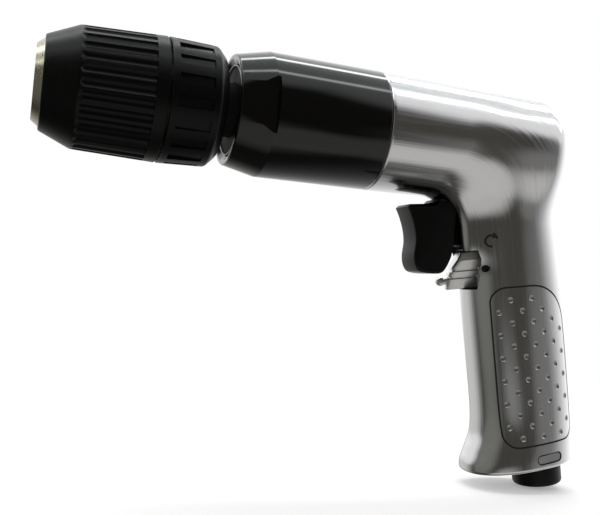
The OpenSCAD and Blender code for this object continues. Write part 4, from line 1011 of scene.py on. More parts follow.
@dataclass
class SkinMarks:
    """Grip panel, rotation arrow and blank plate in the skin; sizes in mm, pairs are places of q and t."""

    skin: Skin
    outline_step: float = 0.5
    panel_corners: Pairs = ((-15.9, 53.0), (14.2, 53.6), (14.2, 113.0), (-16.1, 113.5))
    panel_rounds: tuple[float, ...] = (5.5, 15.0, 5.0, 5.0)
    panel_steps: int = 14
    groove_r: float = 0.36
    groove_rise: float = 0.1
    groove_sides: int = 12
    dimple_at: tuple[float, float] = (-0.9, 57.9)
    dimple_pitch: tuple[float, float] = (4.2, 4.35)
    dimple_columns: int = 3
    dimple_rows: int = 14
    dimple_room: float = 1.9
    dimple_r: float = 1.8
    dimple_rise: float = 1.35
    dimple_pole: float = 0.08
    dimple_belts: int = 11
    dimple_sides: int = 20
    arrow_at: Place = (167.3, 0.0, -37.1)
    arrow_r: float = 2.1
    arrow_start: float = math.radians(285)
    arrow_end: float = math.radians(22)
    arrow_rows: int = 60
    arrow_half: float = 0.42
    arrow_deep: float = 0.35
    arrow_rise: float = 0.05
    head_start: float = 0.76
    head_end: float = 1.02
    head_width: float = 3.0
    plate_corners: Pairs = ((-4.6, 117.4), (6.5, 117.2), (6.5, 120.6), (-4.6, 120.8))
    plate_round: float = 1.6
    plate_steps: int = 8
    plate_deep: float = 0.25
    plate_clear: float = 1.0
    plate_edge: float = 0.3
    plate_edge_rise: float = -0.2

    def oblong(self, corners: Pairs, rounds: Sequence[float], steps: int) -> Array:
        """Closed outline with round corners as close places of q and t."""
        return stepped(rounded(np.array(corners), rounds, steps), self.outline_step, True)

    def tube(
        self, path: Array, side: float, high: float, rise: float, widths: Array | None = None
    ) -> Shell:
        """Carries an ellipse along a path on the skin, to cut a groove.

        Args:
            path: Points on the skin.
            side: Half width of the ellipse across the path.
            high: Half height of the ellipse along the skin's normal.
            rise: Height of its centre above the skin.
            widths: Share of the half width at each point of an open path; None if the path runs round.

        Returns:
            The tube.
        """
        closed = widths is None
        up = self.skin.normal(path)
        ahead = np.gradient(path, axis=0)
        if closed:
            ahead = np.roll(path, -1, axis=0) - np.roll(path, 1, axis=0)
        across = unit(np.cross(up, ahead))
        ring = circle(1.0, self.groove_sides)
        lift = rise + high * ring[:, 1]
        aside = side * (np.ones(len(path)) if closed else widths)[:, None] * ring[:, 0]
        raised = path[:, None] + lift[:, None] * up[:, None]
        return lofted(raised + aside[..., None] * across[:, None], closed)

    def grooves(self) -> list[bpy.types.Object]:
        """Cutters of the grip panel's groove and dimples on both sides.

        Dimples stand at every other place inside the panel's outline, as balls that dip into the skin.

        Returns:
            The cutters.
        """
        outline = self.oblong(self.panel_corners, self.panel_rounds, self.panel_steps)
        columns, rows = np.indices((2 * self.dimple_columns + 1, self.dimple_rows))
        columns = columns - self.dimple_columns
        spots = np.array(self.dimple_at) + joined(columns, rows) * self.dimple_pitch
        spots = spots[(columns + rows) % 2 == 0]
        room = np.min(np.linalg.norm(spots[:, None] - outline, axis=2), axis=1)
        spots = spots[enclosed(spots, outline) & (room > self.dimple_room)]
        polar = np.linspace(self.dimple_pole, math.pi - self.dimple_pole, self.dimple_belts)[:, None]
        belt = circle(1.0, self.dimple_sides)
        ball = self.dimple_r * joined(np.cos(polar), np.sin(polar) * belt[:, 0], np.sin(polar) * belt[:, 1])
        cutters = []
        for side in Side:
            ring = self.tube(self.skin.on_side(outline, side), self.groove_r, self.groove_r, self.groove_rise)
            cutters.append(ring.solid("panel_groove_cut", DARK_GROOVE))
            seats = self.skin.on_side(spots, side)
            seats = seats + self.dimple_rise * self.skin.normal(seats)
            balls = gathered([lofted(ball + seat) for seat in seats])
            # The dimples take the darker copy of the casting, which paints shade in their hollows.
            cutters.append(balls.solid("dimple_cut", DIMPLE_SHADE_AND_PLATE_TONE))
        return cutters

    def signs(self) -> list[bpy.types.Object]:
        """Cutters of the rotation arrow above the lever and the bare plate in the foot, on the near side.

        The arrow is an arc whose end widens and runs out to a point; the plate is a shallow oblong.

        Returns:
            The cutters.
        """
        turn = np.linspace(self.arrow_start, self.arrow_end, self.arrow_rows)
        spot = np.array(self.arrow_at) + self.arrow_r * joined(np.cos(turn), 0.0, np.sin(turn))
        path = self.skin.to_skin(spot, np.array([0.0, float(Side.NEAR.value), 0.0]))
        share = np.linspace(0, 1, len(path))
        head = self.head_width * (self.head_end - share) / (self.head_end - self.head_start)
        widths = np.where(share < self.head_start, 1.0, head)
        arrow = self.tube(path, self.arrow_half, self.arrow_deep, self.arrow_rise, widths)
        plate = self.oblong(self.plate_corners, np.full(4, self.plate_round), self.plate_steps)
        rim = self.skin.on_side(plate, Side.NEAR)
        up = self.skin.normal(rim)
        recess = lofted(np.stack([rim - self.plate_deep * up, rim + self.plate_clear * up]))
        edge = self.tube(rim, self.plate_edge, self.plate_edge, self.plate_edge_rise)
        # The plate's recess takes the darker copy of the casting as the plate's own darker tone.
        return [
            arrow.solid("arrow_cut", DARK_GROOVE), edge.solid("plate_edge_cut", DARK_GROOVE),
            recess.solid("plate_cut", DIMPLE_SHADE_AND_PLATE_TONE),
        ]


@dataclass
class Bores:
    """Hollows of the casting for motor, throttle, reversing lever and air; sizes in millimetres."""

    skin: Skin
    seat: LeverSeat
    x_motor_back: float = 168.7
    motor_r: float = 17.0
    over: float = 2.0
    throttle_z: float = THROTTLE_Z
    x_slot: float = 162.5
    slot_run: float = 31.5
    slot_half: float = 6.3
    slot_top: float = -22.3
    slot_bottom: float = -43.0
    slot_round: float = 1.0
    x_pocket: float = 171.0
    shank_half: float = 3.8
    shank_half_height: float = 7.3
    x_bush: float = 180.0
    bush_r: float = 5.5
    x_spring: float = X_SPRING_END
    spring_r: float = 4.3
    lever_top: float = 40.6
    lever_room: float = 0.4
    lever_reach: float = 12.0
    hub_r: float = 7.4
    window_out: float = -70.0
    window_room: float = 0.15
    window_rows: int = 28
    crown_top: float = 38.2
    crown_q: float = -11.0
    crown_lap: float = 0.5
    crown_rows: int = 8
    valve_deep: float = 19.3
    valve_r: float = 4.55
    pin_q: float = -16.5
    pin_t: float = 45.4
    pin_r: float = 1.4
    pin_gap: float = 0.08
    pin_sunk: float = 0.5
    pin_inner: float = 10.2
    pin_bore_inner: float = 10.1
    pin_bore_outer: float = 31.0
    pin_sides: int = 32
    passage_q: float = INLET_Q
    passage_t: float = 30.0
    passage_r: float = 6.5
    inlet_deep: float = 15.0
    inlet_r: float = 8.0
    exhaust_q: float = -11.0
    exhaust_deep: float = 40.0
    exhaust_r: float = 5.0

    def window(self, rise: Array, back: float) -> Shell:
        """Cutter of the lever's window: at each height a strip as wide as the lever needs to swing.

        Args:
            rise: Heights above the lever's lower face.
            back: Place q of its back.

        Returns:
            The closed shell.
        """
        c, s = math.cos(self.seat.swing), math.sin(self.seat.swing)
        half = self.lever_reach * s + c * self.seat.half_width(rise) + self.window_room
        q = np.array([self.window_out, back, back, self.window_out])
        sides = np.array([-1.0, -1.0, 1.0, 1.0])
        return lofted(self.skin.handle.place(q, sides * half[:, None], (self.seat.bottom_t - rise)[:, None]))

    def pins(self, radius: float, inner: float, outer: float) -> Shell:
        """Rods at the stop pins' place, one on each side of the handle's middle plane.

        Args:
            radius: Radius of the rods.
            inner: Distance of their inner ends from the plane.
            outer: Distance of their outer ends.

        Returns:
            The closed shells of both.
        """
        ring = circle(radius, self.pin_sides)
        q, t = self.pin_q + ring[:, 0], self.pin_t + ring[:, 1]
        ends = np.array([[inner], [outer]])
        return gathered([lofted(self.skin.handle.place(q, side.value * ends, t)) for side in Side])

    def cutters(self) -> list[bpy.types.Object]:
        """Cutters of the motor's bore, the throttle's slot and bores, the lever's window and the air ways.

        Returns:
            The cutters.
        """
        drop = np.array([0.0, self.throttle_z])
        axis, bottom = self.seat.axis_q, self.seat.bottom_t
        high, low = self.lever_top - self.lever_room, bottom + self.lever_room
        rise = np.linspace(bottom - high, bottom - low, self.window_rows)
        crown = np.linspace(bottom - self.crown_top, bottom - high - self.crown_lap, self.crown_rows)
        slot = box_outline(self.slot_half, (self.slot_top - self.slot_bottom) / 2, self.slot_round)
        slot = slot + [0, (self.slot_top + self.slot_bottom) / 2]
        shank = box_outline(self.shank_half, self.shank_half_height, self.slot_round) + drop
        rod, foot, over = self.skin.handle.rod, self.skin.handle_len, self.over
        shells = {
            "motor_bore_cut": prism(circle(self.motor_r), self.skin.x_spigot - over, self.x_motor_back),
            "trigger_slot_cut": prism(slot, self.x_slot - self.slot_run, self.x_slot),
            "shank_slot_cut": prism(shank, self.x_slot - over, self.x_pocket),
            "bushing_bore_cut": prism(circle(self.bush_r) + drop, self.x_pocket - over, self.x_bush),
            "spring_bore_cut": prism(circle(self.spring_r) + drop, self.x_bush - over, self.x_spring),
            "window_cut": self.window(rise, axis),
            "crown_cut": self.window(crown, self.crown_q),
            "hub_cut": rod(axis, high, low, self.hub_r),
            "valve_bore_cut": rod(axis, bottom, bottom + self.valve_deep, self.valve_r),
            "passage_cut": rod(self.passage_q, self.passage_t, foot + over, self.passage_r),
            "inlet_cut": rod(self.passage_q, foot - self.inlet_deep, foot + over, self.inlet_r),
            "exhaust_cut": rod(self.exhaust_q, foot - self.exhaust_deep, foot + over, self.exhaust_r),
            "pin_cut": self.pins(self.pin_r, self.pin_bore_inner, self.pin_bore_outer),
        }
        # Cut faces take the darker raw casting: unpolished, and darkened as painted shade inside the hollows.
        return [shell.solid(name, RAW_CASTING_AND_SHADE) for name, shell in shells.items()]

    def stop_pins(self) -> None:
        """Ends of the stop pins, one on each side: short rods across, just under the skin."""
        skin = self.skin.on_side(np.array([[self.pin_q, self.pin_t]]), Side.FAR)[0, 1]
        rods = self.pins(self.pin_r - self.pin_gap, self.pin_inner, skin - self.pin_sunk)
        settle(rods.solid("lever_stop_pins_piece", BLACK_PIN), "lever_stop_pins")


@dataclass
class CastHousing:
    """Polished casting of barrel and handle; distances in millimetres."""

    skin: Skin
    marks: SkinMarks
    bores: Bores
    sharp: float = 35.0
    skin_room: float = 0.01
    skin_turn: float = 0.8

    def build(self) -> None:
        """Makes the casting and the ends of the lever's stop pins."""
        self.casting()
        self.bores.stop_pins()

    def casting(self) -> None:
        """Cuts the skin and gives it the normals of its exact shape."""
        item = self.skin.shell().solid("housing_piece", POLISHED_CASTING)
        carve(item, self.bores.cutters() + self.marks.grooves() + self.marks.signs())
        soften(item, self.sharp)
        mesh = item.data
        corner = np.zeros(len(mesh.loops), np.int32)
        mesh.loops.foreach_get("vertex_index", corner)
        points = np.zeros((len(mesh.vertices), 3), np.float32)
        mesh.vertices.foreach_get("co", points.ravel())
        points = points.astype(float) / MM
        normals = np.zeros((len(corner), 3), np.float32)
        mesh.corner_normals.foreach_get("vector", normals.ravel())
        normals = normals.astype(float)
        exact = self.skin.normal(points)[corner]
        on_skin = np.abs(self.skin.reach(points)) < self.skin_room
        keeps = on_skin[corner] & (np.sum(normals * exact, axis=1) > self.skin_turn)
        normals[keeps] = exact[keeps]
        mesh.normals_split_custom_set(normals)
        settle(item, "housing", None)


@dataclass
class Trigger:
    """Push trigger with a hollow finger face; sizes in mm, its outline as shares of length and height."""

    x_tip: float = 135.2
    x_back: float = 165.7
    top: float = -26.0
    length: float = 30.5
    height: float = 25.0
    half_width: float = 6.0
    edge: float = 0.9
    edge_rows: int = 6
    face_steps: int = 8
    outline_step: float = 0.6
    sharp: float = 40.0
    shank_half: float = 3.4
    shank_top: float = -26.4
    shank_bottom: float = -39.6
    shank_round: float = 0.8
    x_shank: float = 148.0
    stem_r: float = 1.55
    stem_sides: int = 32
    stem_deep: float = 8.0
    over: float = 2.0
    back: Pairs = ((0.66, -0.6), (0.668, 0.13), (0.42, 0.13), (0.36, 0.05), (0.03, 0.0))
    face: Pairs = (
        (0.0, -0.04), (0.06, -0.18), (0.115, -0.36), (0.14, -0.54), (0.13, -0.74), (0.15, -0.88),
        (0.2, -0.97), (0.28, -1.0), (0.44, -1.0), (0.53, -0.97), (0.59, -0.87), (0.635, -0.74),
    )

    def outline(self) -> Array:
        """Side outline: a smooth curve down the finger face and under the toe, then straight up the back.

        Returns:
            Points of x and z, without an end point.
        """
        shares = np.concatenate([spline(np.array(self.face), self.face_steps), np.array(self.back)])
        corners = np.array([self.x_tip, self.top]) + shares * [self.length, self.height]
        return stepped(corners, self.outline_step, True)

    def build(self) -> None:
        """Stacks the outline across the width, drawn in along quarter circles at both sides, with a shank."""
        outline = self.outline()
        ahead = unit(np.roll(outline, -1, axis=0) - outline)
        mid = unit(ahead + np.roll(ahead, 1, axis=0))
        inward = joined(-mid[:, 1], mid[:, 0])
        turn = np.linspace(0, QUARTER, self.edge_rows)
        deep = self.edge * (1 - np.sin(turn))
        wide = self.half_width - self.edge * (1 - np.cos(turn))
        layers = np.concatenate([joined(-wide, deep), joined(wide, deep)[::-1]])
        flat = outline + layers[:, 1, None, None] * inward
        rows = joined(flat[..., 0], layers[:, :1], flat[..., 1])
        item = lofted(rows).solid("trigger_piece", TRIGGER_PLASTIC)
        middle = (self.shank_top + self.shank_bottom) / 2
        block = box_outline(self.shank_half, (self.shank_top - self.shank_bottom) / 2, self.shank_round)
        shank = prism(block + [0, middle], self.x_shank, self.x_back)
        hole = circle(self.stem_r, self.stem_sides) + [0, middle]
        stem = prism(hole, self.x_back - self.stem_deep, self.x_back + self.over)
        carve(item, [stem.solid("stem_cut", TRIGGER_PLASTIC)], [shank.solid("shank", TRIGGER_PLASTIC)])
        settle(item, "trigger", self.sharp)


@dataclass
class ThrottleSpring:
    """Coil spring behind the throttle valve, which shortens as the trigger is pulled; sizes in mm."""

    x_front: float = 183.35
    x_back: float = X_SPRING_END
    z_axis: float = THROTTLE_Z
    orbit: float = 2.8
    wire_r: float = 0.4
    wire_sides: int = 10
    turns: int = 6
    turn_rows: int = 24
    travel: float = 5.1

    def build(self) -> None:
        """Carries the wire's circle along a helix about the valve's axis."""
        turn = np.linspace(0, TURN * self.turns, self.turns * self.turn_rows + 1)
        x = np.linspace(self.x_front + self.wire_r, self.x_back - self.wire_r, len(turn))
        out = joined(0.0, np.cos(turn), np.sin(turn))
        centre = joined(x, 0.0, self.z_axis) + self.orbit * out
        up = unit(np.cross(np.gradient(centre, axis=0), out))
        ring = circle(self.wire_r, self.wire_sides)
        rows = centre[:, None] + ring[:, :1] * out[:, None] + ring[:, 1:] * up[:, None]
        item = lofted(rows).solid("throttle_spring_piece", GEAR_STEEL)
        settle(item, "throttle_spring")
        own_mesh(item)


@dataclass
class ReverseLever:
    """Reversing lever with ribbed cheeks and a finger tab; sizes in mm, heights from its lower face."""

    handle: Handle
    seat: LeverSeat
    height: float = 12.2
    hub_r: float = 7.0
    rib_depth: float = 0.7
    rib_gap: float = 1.1
    rib_wall: float = 0.02
    rib_shares: tuple[float, ...] = (0.32, 0.55)
    crown_height: float = 14.2
    crown_start: float = 4.0
    crown_lap: float = 1.2
    front_rises: tuple[float, ...] = (0.0, 2.8, 5.8, 9.0, 11.7, 13.2, 14.2)
    front_reaches: tuple[float, ...] = (18.4, 18.0, 17.2, 15.7, 13.6, 13.0, 12.3)
    power: float = 9.0
    edge: float = 0.5
    edge_rises: tuple[float, ...] = (0.0, 0.12, 0.4)
    cheek_start: float = 0.6
    cheek_rows: int = 30
    cheek_columns: int = 240
    crown_rows: int = 6
    crown_columns: int = 120
    tab_start: float = 14.0
    tab_reach: float = 20.1
    tab_rise: float = 3.4
    tab_half_width: float = 2.5
    tab_half_height: float = 1.3
    tab_neck: float = 2.0
    tab_power: float = 0.55
    tab_rows: int = 10
    tab_columns: int = 48
    bead_r: float = 1.8
    bead_rows: int = 24
    bead_taper: float = 0.7
    bead_end: float = 0.02
    least_height: float = 0.05
    stem_r: float = 3.05
    over: float = 2.0
    sharp: float = 35.0

    def place(self, ahead: Array, aside: Array, rise: Array) -> Array:
        """Points of the part at places in the lever's frame, turned to its rest."""
        c, s, axis = math.cos(self.seat.swing), math.sin(self.seat.swing), self.seat.axis_q
        return self.handle.place(
            axis - ahead * c + aside * s, ahead * s + aside * c, self.seat.bottom_t - rise
        )

    def front(self, rise: Array) -> Array:
        """Distance of the cheeks' front from the axis at heights above the lower face."""
        return np.interp(rise, self.front_rises, self.front_reaches)

    def cheeks(self) -> Shell:
        """Hub and cheeks as layers.

        At each height the outline is the further of the hub's circle and a rounded oblong, which dips in the
        ribs' grooves and leans forward to the finger tab.

        Returns:
            The closed shell.
        """
        ribs = np.array(self.rib_shares)[:, None] * self.height
        wall, gap = self.rib_wall, self.rib_gap
        walls = ribs + [-wall, wall, gap - wall, gap + wall]
        ends = np.array(self.edge_rises)
        between = np.linspace(self.cheek_start, self.height - self.cheek_start, self.cheek_rows)
        rise = np.unique(np.concatenate([ends, walls.ravel(), between, self.height - ends]))
        dip = self.rib_depth * np.any((rise > ribs) & (rise < ribs + gap), axis=0)
        short = np.maximum(self.edge - np.minimum(rise, self.height - rise), 0)
        draw = self.edge - np.sqrt(np.maximum(self.edge**2 - short**2, 0))
        half = self.seat.half_width(rise) - dip
        front = self.front(rise) - dip
        c, s = circle(1.0, self.cheek_columns).T
        flat = (np.maximum(c, 0) / front[:, None]) ** self.power + (np.abs(s) / half[:, None]) ** self.power
        flat = flat ** (-1 / self.power)
        radius = np.where(c > 0, np.maximum(flat, self.hub_r), self.hub_r) - draw[:, None]
        return lofted(self.place(radius * c, radius * s, rise[:, None]))

    def crown(self) -> Shell:
        """Upper end of the cheeks as layers: rounded oblongs in front of the hub, drawn in at the top.

        Returns:
            The closed shell.
        """
        drop = np.linspace(0, QUARTER, self.crown_rows)
        top = self.crown_height - self.edge * (1 - np.sin(drop))
        rise = np.concatenate([[self.height - self.crown_lap, self.height], top])[:, None]
        draw = np.concatenate([[0.0, 0.0], self.edge * (1 - np.cos(drop))])[:, None]
        half = self.seat.half_width(rise) - draw
        front = self.front(rise) - draw
        c, s = circle(1.0, self.crown_columns).T
        ring = (np.abs(c) ** self.power + np.abs(s) ** self.power) ** (-1 / self.power)
        ahead = (front + self.crown_start) / 2 + (front - self.crown_start) / 2 * ring * c
        return lofted(self.place(ahead, half * ring * s, rise))

    def tab(self) -> Shell:
        """Finger tab as a loft: rounded sections along the tab that swell into the bead at its end.

        Returns:
            The closed shell.
        """
        tip = self.tab_reach + self.bead_r - self.bead_end
        ahead = np.concatenate([
            np.linspace(self.tab_start, self.tab_reach - self.tab_neck, self.tab_rows),
            np.linspace(self.tab_reach - self.bead_r, tip, self.bead_rows),
        ])[:, None]
        bead = np.sqrt(np.maximum(self.bead_r**2 - (ahead - self.tab_reach) ** 2, 0))
        on_tab = ahead < self.tab_reach
        high = np.maximum(bead, np.where(on_tab, self.tab_half_height, self.least_height))
        wide = self.tab_half_width - np.where(on_tab, 0, self.bead_taper * (self.bead_r - bead))
        c, s = circle(1.0, self.tab_columns).T
        aside = wide * np.sign(c) * np.abs(c) ** self.tab_power
        rise = self.tab_rise + high * np.sign(s) * np.abs(s) ** self.tab_power
        return lofted(self.place(ahead, aside, rise))

    def build(self) -> None:
        """Joins the tab and the crown to the cheeks and bores the hub for the valve's stem."""
        item = self.cheeks().solid("reverse_lever_piece", ZINC_CASTING)
        tab = self.tab().solid("lever_tab", ZINC_CASTING)
        crown = self.crown().solid("lever_crown", ZINC_CASTING)
        low, high = self.seat.bottom_t - self.height - self.over, self.seat.bottom_t + self.over
        stem = self.handle.rod(self.seat.axis_q, low, high, self.stem_r)
        carve(item, [stem.solid("stem_hole_cut", ZINC_CASTING)], [tab, crown])
        settle(item, "reverse_lever", self.sharp)


@dataclass
class AirInlet:
    """Threaded inlet bushing in the foot; sizes in millimetres, heights from the foot."""

    handle: Handle
    foot_t: float = HANDLE_LEN
    axis_q: float = INLET_Q
    collar_r: float = 9.5
    collar_len: float = 9.0
    mouth: float = 0.6
    thread_r: float = 7.95
    thread_len: float = 13.8
    bore_r: float = 5.7
    bore_top: float = 5.0
    throat_r: float = 4.0
    thread_pitch: float = 1.34
    thread_depth: float = 0.5
    thread_inset: float = 1.0
    thread_rows: int = 140
    rounds: tuple[float, ...] = (0.3, 1.4, 0.25, 0.1, 0.3, 0.1, 0.1, 0.1)
    round_steps: int = 6
    columns: int = 128
    sharp: float = 30.0

    def build(self) -> None:
        """Turns the bushing about the inlet's axis, with a grooved thread in its mouth.

        The thread is a cosine of the thread's pitch in height, cut outwards from the bore.
        """
        corners = np.array([
            [-self.collar_len, self.bore_r + self.mouth], [-self.collar_len, self.collar_r],
            [0.0, self.collar_r], [0.0, self.thread_r], [self.thread_len, self.thread_r],
            [self.thread_len, self.throat_r], [self.bore_top, self.throat_r], [self.bore_top, self.bore_r],
        ])
        walls = rounded(corners, self.rounds, self.round_steps)
        inset = self.thread_inset
        rise = np.linspace(self.bore_top - inset, inset - self.collar_len, self.thread_rows)
        thread = self.bore_r + self.thread_depth * (0.5 + 0.5 * np.cos(TURN * rise / self.thread_pitch))
        ring = revolved(np.concatenate([walls, joined(rise, thread)]), around(self.columns))
        station, y, z = ring.points.T
        turned = ring.moved(self.handle.place(self.axis_q + z, y, self.foot_t - station))
        settle(turned.solid("inlet_bushing_piece", BLACK_PIN), "inlet_bushing", self.sharp)


@dataclass
class Works:
    """Pieces that keep their CAD meshes, each dressed in the finish of its material slot."""

    def build(self) -> None:
        """Gives every CAD node its procedural finish."""
        slots = {part["node"]: part["material_slot"] for part in frame["record"]["subparts"]}
        for name, item in frame["nodes"].items():
            item.data.materials.clear()
            item.data.materials.append(NODE_FINISHES.get(name, SLOT_FINISHES[slots[name]]).material())
            LOG.info("%s: %s", name, slots[name])


def heading(turn: Array | float, rise: Array | float) -> Array:
    """Directions of length 1 at angles round from the near side and up from level."""
    return joined(np.sin(turn) * np.cos(rise), -np.cos(turn) * np.cos(rise), np.sin(rise))


@dataclass(frozen=True)
class Panel:
    """Bright patch of the studio's tent; angles in degrees.

    Attributes:
        azimuth: Angle round from the near side towards the drill's back.
        elevation: Angle up from level.
        core: Half angle of its evenly bright middle.
        rim: Half angle at which it has faded out.
        level: Brightness of its middle, 1 for white.
        tint: Colour of its light.
    """

    azimuth: float
    elevation: float
    core: float
    rim: float
    level: float
    tint: Colour = (1.0, 1.0, 1.0)

    def off(self, way: Array) -> Array:
        """Angles of directions of length 1 from the middle of the patch."""
        toward = heading(math.radians(self.azimuth), math.radians(self.elevation))
        return np.degrees(np.arccos(np.clip(way @ toward, -1, 1)))


@dataclass(frozen=True)
class Strip:
    """Bright band of the studio's tent above the drill, along its barrel; angles in degrees.

    Attributes:
        lean: Angle from straight up towards the far side.
        core: Half angle of its evenly bright middle.
        rim: Half angle at which it has faded out.
        level: Brightness of its middle, 1 for white.
        tint: Colour of its light.
        least_rise: Cosine of the angle from its middle line's top past which it is cut off.
    """

    lean: float
    core: float
    rim: float
    level: float
    tint: Colour = (1.0, 1.0, 1.0)
    least_rise: float = 0.5

    def off(self, way: Array) -> Array:
        """Finds how far directions lie from the middle line of the band.

        Args:
            way: Directions of length 1.

        Returns:
            The angles, 90 where the band is cut off.
        """
        lean = math.radians(self.lean)
        across = way @ np.array([0.0, math.cos(lean), -math.sin(lean)])
        over = way @ np.array([0.0, math.sin(lean), math.cos(lean)])
        return np.where(over > self.least_rise, np.degrees(np.arcsin(np.clip(np.abs(across), 0, 1))), 90.0)


@dataclass(frozen=True)
class Lamp:
    """Soft rectangular lamp that faces the drill's middle; place and size in metres."""

    name: str
    at: Place
    size: tuple[float, float]
    watts: float


COOL = (0.97, 1.0, 1.0)
WARM = (1.0, 0.99, 0.95)
WHITE = (1.0, 1.0, 1.0, 1.0)
BLACK = (0.0, 0.0, 0.0, 1.0)
PALE = (0.9, 0.9, 0.9, 1.0)


@dataclass
class Studio:
    """White studio: floor, soft lamps, a tent for reflections and the camera; sizes in metres."""

    camera_at: Place = (0.0, -0.28753, -0.06234)
    camera_ahead: Place = (0.3178, 0.9472, 0.0426)
    camera_up: Place = (-0.088, -0.0153, 0.996)
    clip_start: float = 0.01
    focal_px: float = 840.47
    image_width_px: float = 600.0
    sensor_mm: float = 36.0
    ambient: float = 0.6
    floor_gap: float = 0.0005
    floor_size: float = 1.6
    floor_lift: float = 0.3
    floor_roughness: float = 0.9
    fade_start: float = 0.3
    fade_end: float = 0.5
    tent_reach: float = 1.2
    tent_columns: int = 361
    tent_rows: int = 181
    tent_colour: Colour = (0.062, 0.059, 0.05)
    panels: tuple[Panel | Strip, ...] = (
        Panel(0.0, 90.0, 33.0, 51.0, 0.9, (0.96, 0.99, 1.0)),
        Strip(22.0, 1.2, 5.0, 8.0, COOL),
        Strip(-14.0, 0.8, 4.0, 5.5, COOL),
        Panel(180.0, 35.0, 30.0, 62.0, 1.15),
        Panel(118.0, 5.0, 10.0, 88.0, 1.3),
        Panel(72.0, 42.0, 22.0, 36.0, 0.95),
        Panel(-165.0, -10.0, 5.0, 60.0, 0.72, (1.0, 1.0, 0.96)),
        Panel(-150.0, 20.0, 16.0, 46.0, 0.95),
        Panel(-80.0, 5.0, 20.0, 60.0, 0.2, (1.0, 1.0, 0.9)),
        Panel(-5.0, -46.0, 16.0, 44.0, 0.56, WARM),
        Panel(22.0, -43.0, 14.0, 27.0, 0.6, WARM),
        Panel(50.0, -32.0, 13.0, 27.0, 0.6, WARM),
        Panel(45.0, -8.0, 8.0, 24.0, 0.2, WARM),
    )
    lamps: tuple[Lamp, ...] = (
        Lamp("top_back_lamp", (0.1, 0.19, 0.6), (0.9, 0.12), 2.1),
        Lamp("top_front_lamp", (0.1, -0.17, 0.6), (0.9, 0.12), 1.2),
    )

    def camera(self) -> None:
        """Places the camera at the photo's angle."""
        ahead = unit(np.array(self.camera_ahead))
        right = unit(np.cross(ahead, self.camera_up))
        data = bpy.data.cameras.new("camera")
        data.sensor_width = self.sensor_mm
        data.lens = self.focal_px / self.image_width_px * self.sensor_mm
        data.clip_start = self.clip_start
        turn = np.eye(4)
        turn[:3] = np.stack([right, np.cross(right, ahead), -ahead, self.camera_at], axis=1)
        item = linked("camera", data)
        item.matrix_world = Matrix(turn.tolist())
        bpy.context.scene.camera = item

    def world(self) -> None:
        """White to the camera, in reflections and through glass, a plain grey light otherwise."""
        world = bpy.data.worlds.new("studio")
        tree = grown(world)
        world.cycles.sampling_method = "NONE"
        bpy.context.scene.world = world
        level = add(tree, "MapRange", {"To Min": self.ambient, "To Max": 1.0, "Value": self.seen(tree)})
        fill(tree.nodes["Background"], {"Color": WHITE, "Strength": level.outputs["Result"]})

    @staticmethod
    def seen(tree: bpy.types.NodeTree) -> bpy.types.NodeSocket:
        """Adds nodes that tell rays from the camera, a reflection or glass from those that only light.

        Args:
            tree: Node tree that takes them.

        Returns:
            The socket, 1 on such rays and 0 on others.
        """
        rays = add(tree, "LightPath", {}).outputs
        seen = rays["Is Camera Ray"]
        for kind in ("Is Glossy Ray", "Is Transmission Ray"):
            seen = add(tree, "Math", {0: seen, 1: rays[kind]}, operation="MAXIMUM").outputs["Value"]
        return seen

    @staticmethod
    def sheet(
        name: str, grid: Array, material: bpy.types.Material, glow: Array | None = None
    ) -> bpy.types.Object:
        """Stage piece over a grid of points.

        Args:
            name: Name of the object.
            grid: Rows of points, in metres.
            material: Its material.
            glow: Colour at each point, kept as an attribute.

        Returns:
            The stage piece.
        """
        rows, columns = grid.shape[:2]
        i, j = np.indices((rows - 1, columns - 1))
        corner = (i * columns + j).ravel()
        quads = np.stack([corner, corner + 1, corner + columns + 1, corner + columns], axis=1)
        mesh = bpy.data.meshes.new(name)
        mesh.from_pydata(grid.reshape(-1, 3), [], quads)
        if glow is not None:
            colours = joined(*np.moveaxis(glow, -1, 0), 1.0).astype(np.float32)
            mesh.attributes.new("glow", "FLOAT_COLOR", "POINT").data.foreach_set("color", colours.ravel())
        mesh.materials.append(material)
        item = linked(name, mesh)
        return item

    def floor(self) -> None:
        """Pale floor just under the drill that fades out to the white background and keeps the shadow."""
        material = bpy.data.materials.new("pale_floor")
        tree = grown(material)
        middle = (CAD_BOX[0] + CAD_BOX[1]) / 2
        place = add(tree, "TexCoord", {}).outputs["Object"]
        centre = (middle.x, middle.y, CAD_BOX[0].z)
        away = add(tree, "VectorMath", {0: place, 1: centre}, operation="DISTANCE").outputs["Value"]
        fade = add(tree, "MapRange", {
            "From Min": self.floor_size * self.fade_start, "From Max": self.floor_size * self.fade_end,
            "To Min": 1.0, "To Max": 0.0, "Value": away,
        }, interpolation_type="SMOOTHSTEP")
        lift = add(tree, "Math", {0: self.seen(tree), 1: self.floor_lift}, operation="MULTIPLY")
        fill(tree.nodes["Principled BSDF"], {
            "Base Color": PALE,
            "Roughness": self.floor_roughness,
            "Specular IOR Level": 0.0,
            "Emission Color": WHITE,
            "Emission Strength": lift.outputs["Value"],
            "Alpha": fade.outputs["Result"],
        })
        ends = np.array([-1, 1]) * self.floor_size / 2
        grid = joined(middle.x + ends, middle.y + ends[:, None], CAD_BOX[0].z - self.floor_gap)
        self.sheet("floor", grid, material).visible_glossy = False

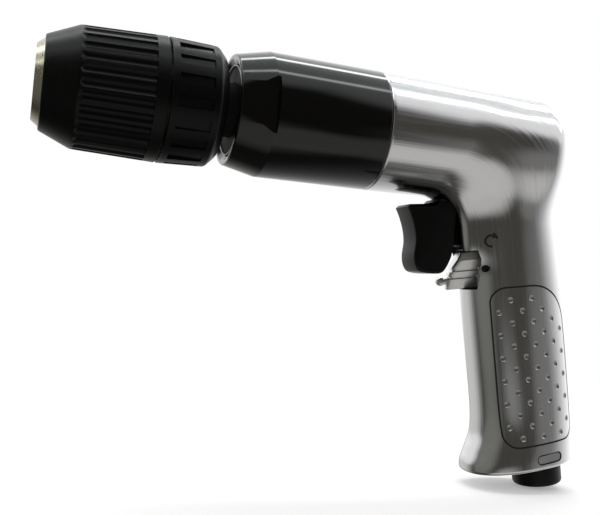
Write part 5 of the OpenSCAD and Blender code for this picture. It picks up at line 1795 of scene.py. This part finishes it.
    def hang(self, lamp: Lamp) -> None:
        """Puts a lamp into the scene, hidden from reflections.

        Args:
            lamp: The lamp.
        """
        data = bpy.data.lights.new(lamp.name, "AREA")
        data.shape = "RECTANGLE"
        data.size, data.size_y = lamp.size
        data.energy = lamp.watts
        item = linked(lamp.name, data)
        item.visible_glossy = False
        item.location = lamp.at
        item.rotation_mode = "QUATERNION"
        middle = (CAD_BOX[0] + CAD_BOX[1]) / 2
        item.rotation_quaternion = (middle - item.location).to_track_quat("-Z", "Y")

    def tent(self) -> None:
        """Grey tent round the drill that shows only in reflections, with a bright patch for each panel.

        It is a sphere; a patch is at its full level within its core angle and fades out smoothly at its rim
        angle.
        """
        turn = np.linspace(0, TURN, self.tent_columns)[:, None]
        way = heading(turn, np.linspace(-QUARTER, QUARTER, self.tent_rows))
        glow = np.broadcast_to(np.array(self.tent_colour), way.shape)
        for panel in self.panels:
            share = np.clip((panel.rim - panel.off(way)) / (panel.rim - panel.core), 0, 1)
            patch = panel.level * np.array(panel.tint) * (share**2 * (3 - 2 * share))[..., None]
            glow = np.maximum(glow, patch)
        material = bpy.data.materials.new("tent")
        tree = grown(material)
        read = add(tree, "Attribute", {}, attribute_name="glow")
        fill(tree.nodes["Principled BSDF"], {
            "Base Color": BLACK,
            "Specular IOR Level": 0.0,
            "Emission Strength": 1.0,
            "Emission Color": read.outputs["Color"],
        })
        material.cycles.emission_sampling = "NONE"
        middle = np.array((CAD_BOX[0] + CAD_BOX[1]) / 2)
        item = self.sheet("tent", middle + self.tent_reach * way, material, glow)
        item.visible_camera = False
        item.visible_shadow = False
        item.visible_diffuse = False
        item.visible_transmission = False

    def build(self) -> None:
        """Sets up the stage."""
        self.camera()
        self.world()
        self.floor()
        self.tent()
        for lamp in self.lamps:
            self.hang(lamp)
        bpy.context.scene.view_settings.view_transform = "Standard"


def main() -> None:
    """Builds the drill's sub-assemblies in order, then the stage."""
    logging.basicConfig(level=logging.INFO, format="%(message)s")
    handle = Handle()
    seat = LeverSeat()
    Works().build()
    Chuck().build()
    GearCase().build()
    skin = Skin(handle)
    CastHousing(skin, SkinMarks(skin), Bores(skin, seat)).build()
    Trigger().build()
    ThrottleSpring().build()
    ReverseLever(handle, seat).build()
    AirInlet(handle).build()
    Studio().build()


if __name__ == "__main__":
    main()
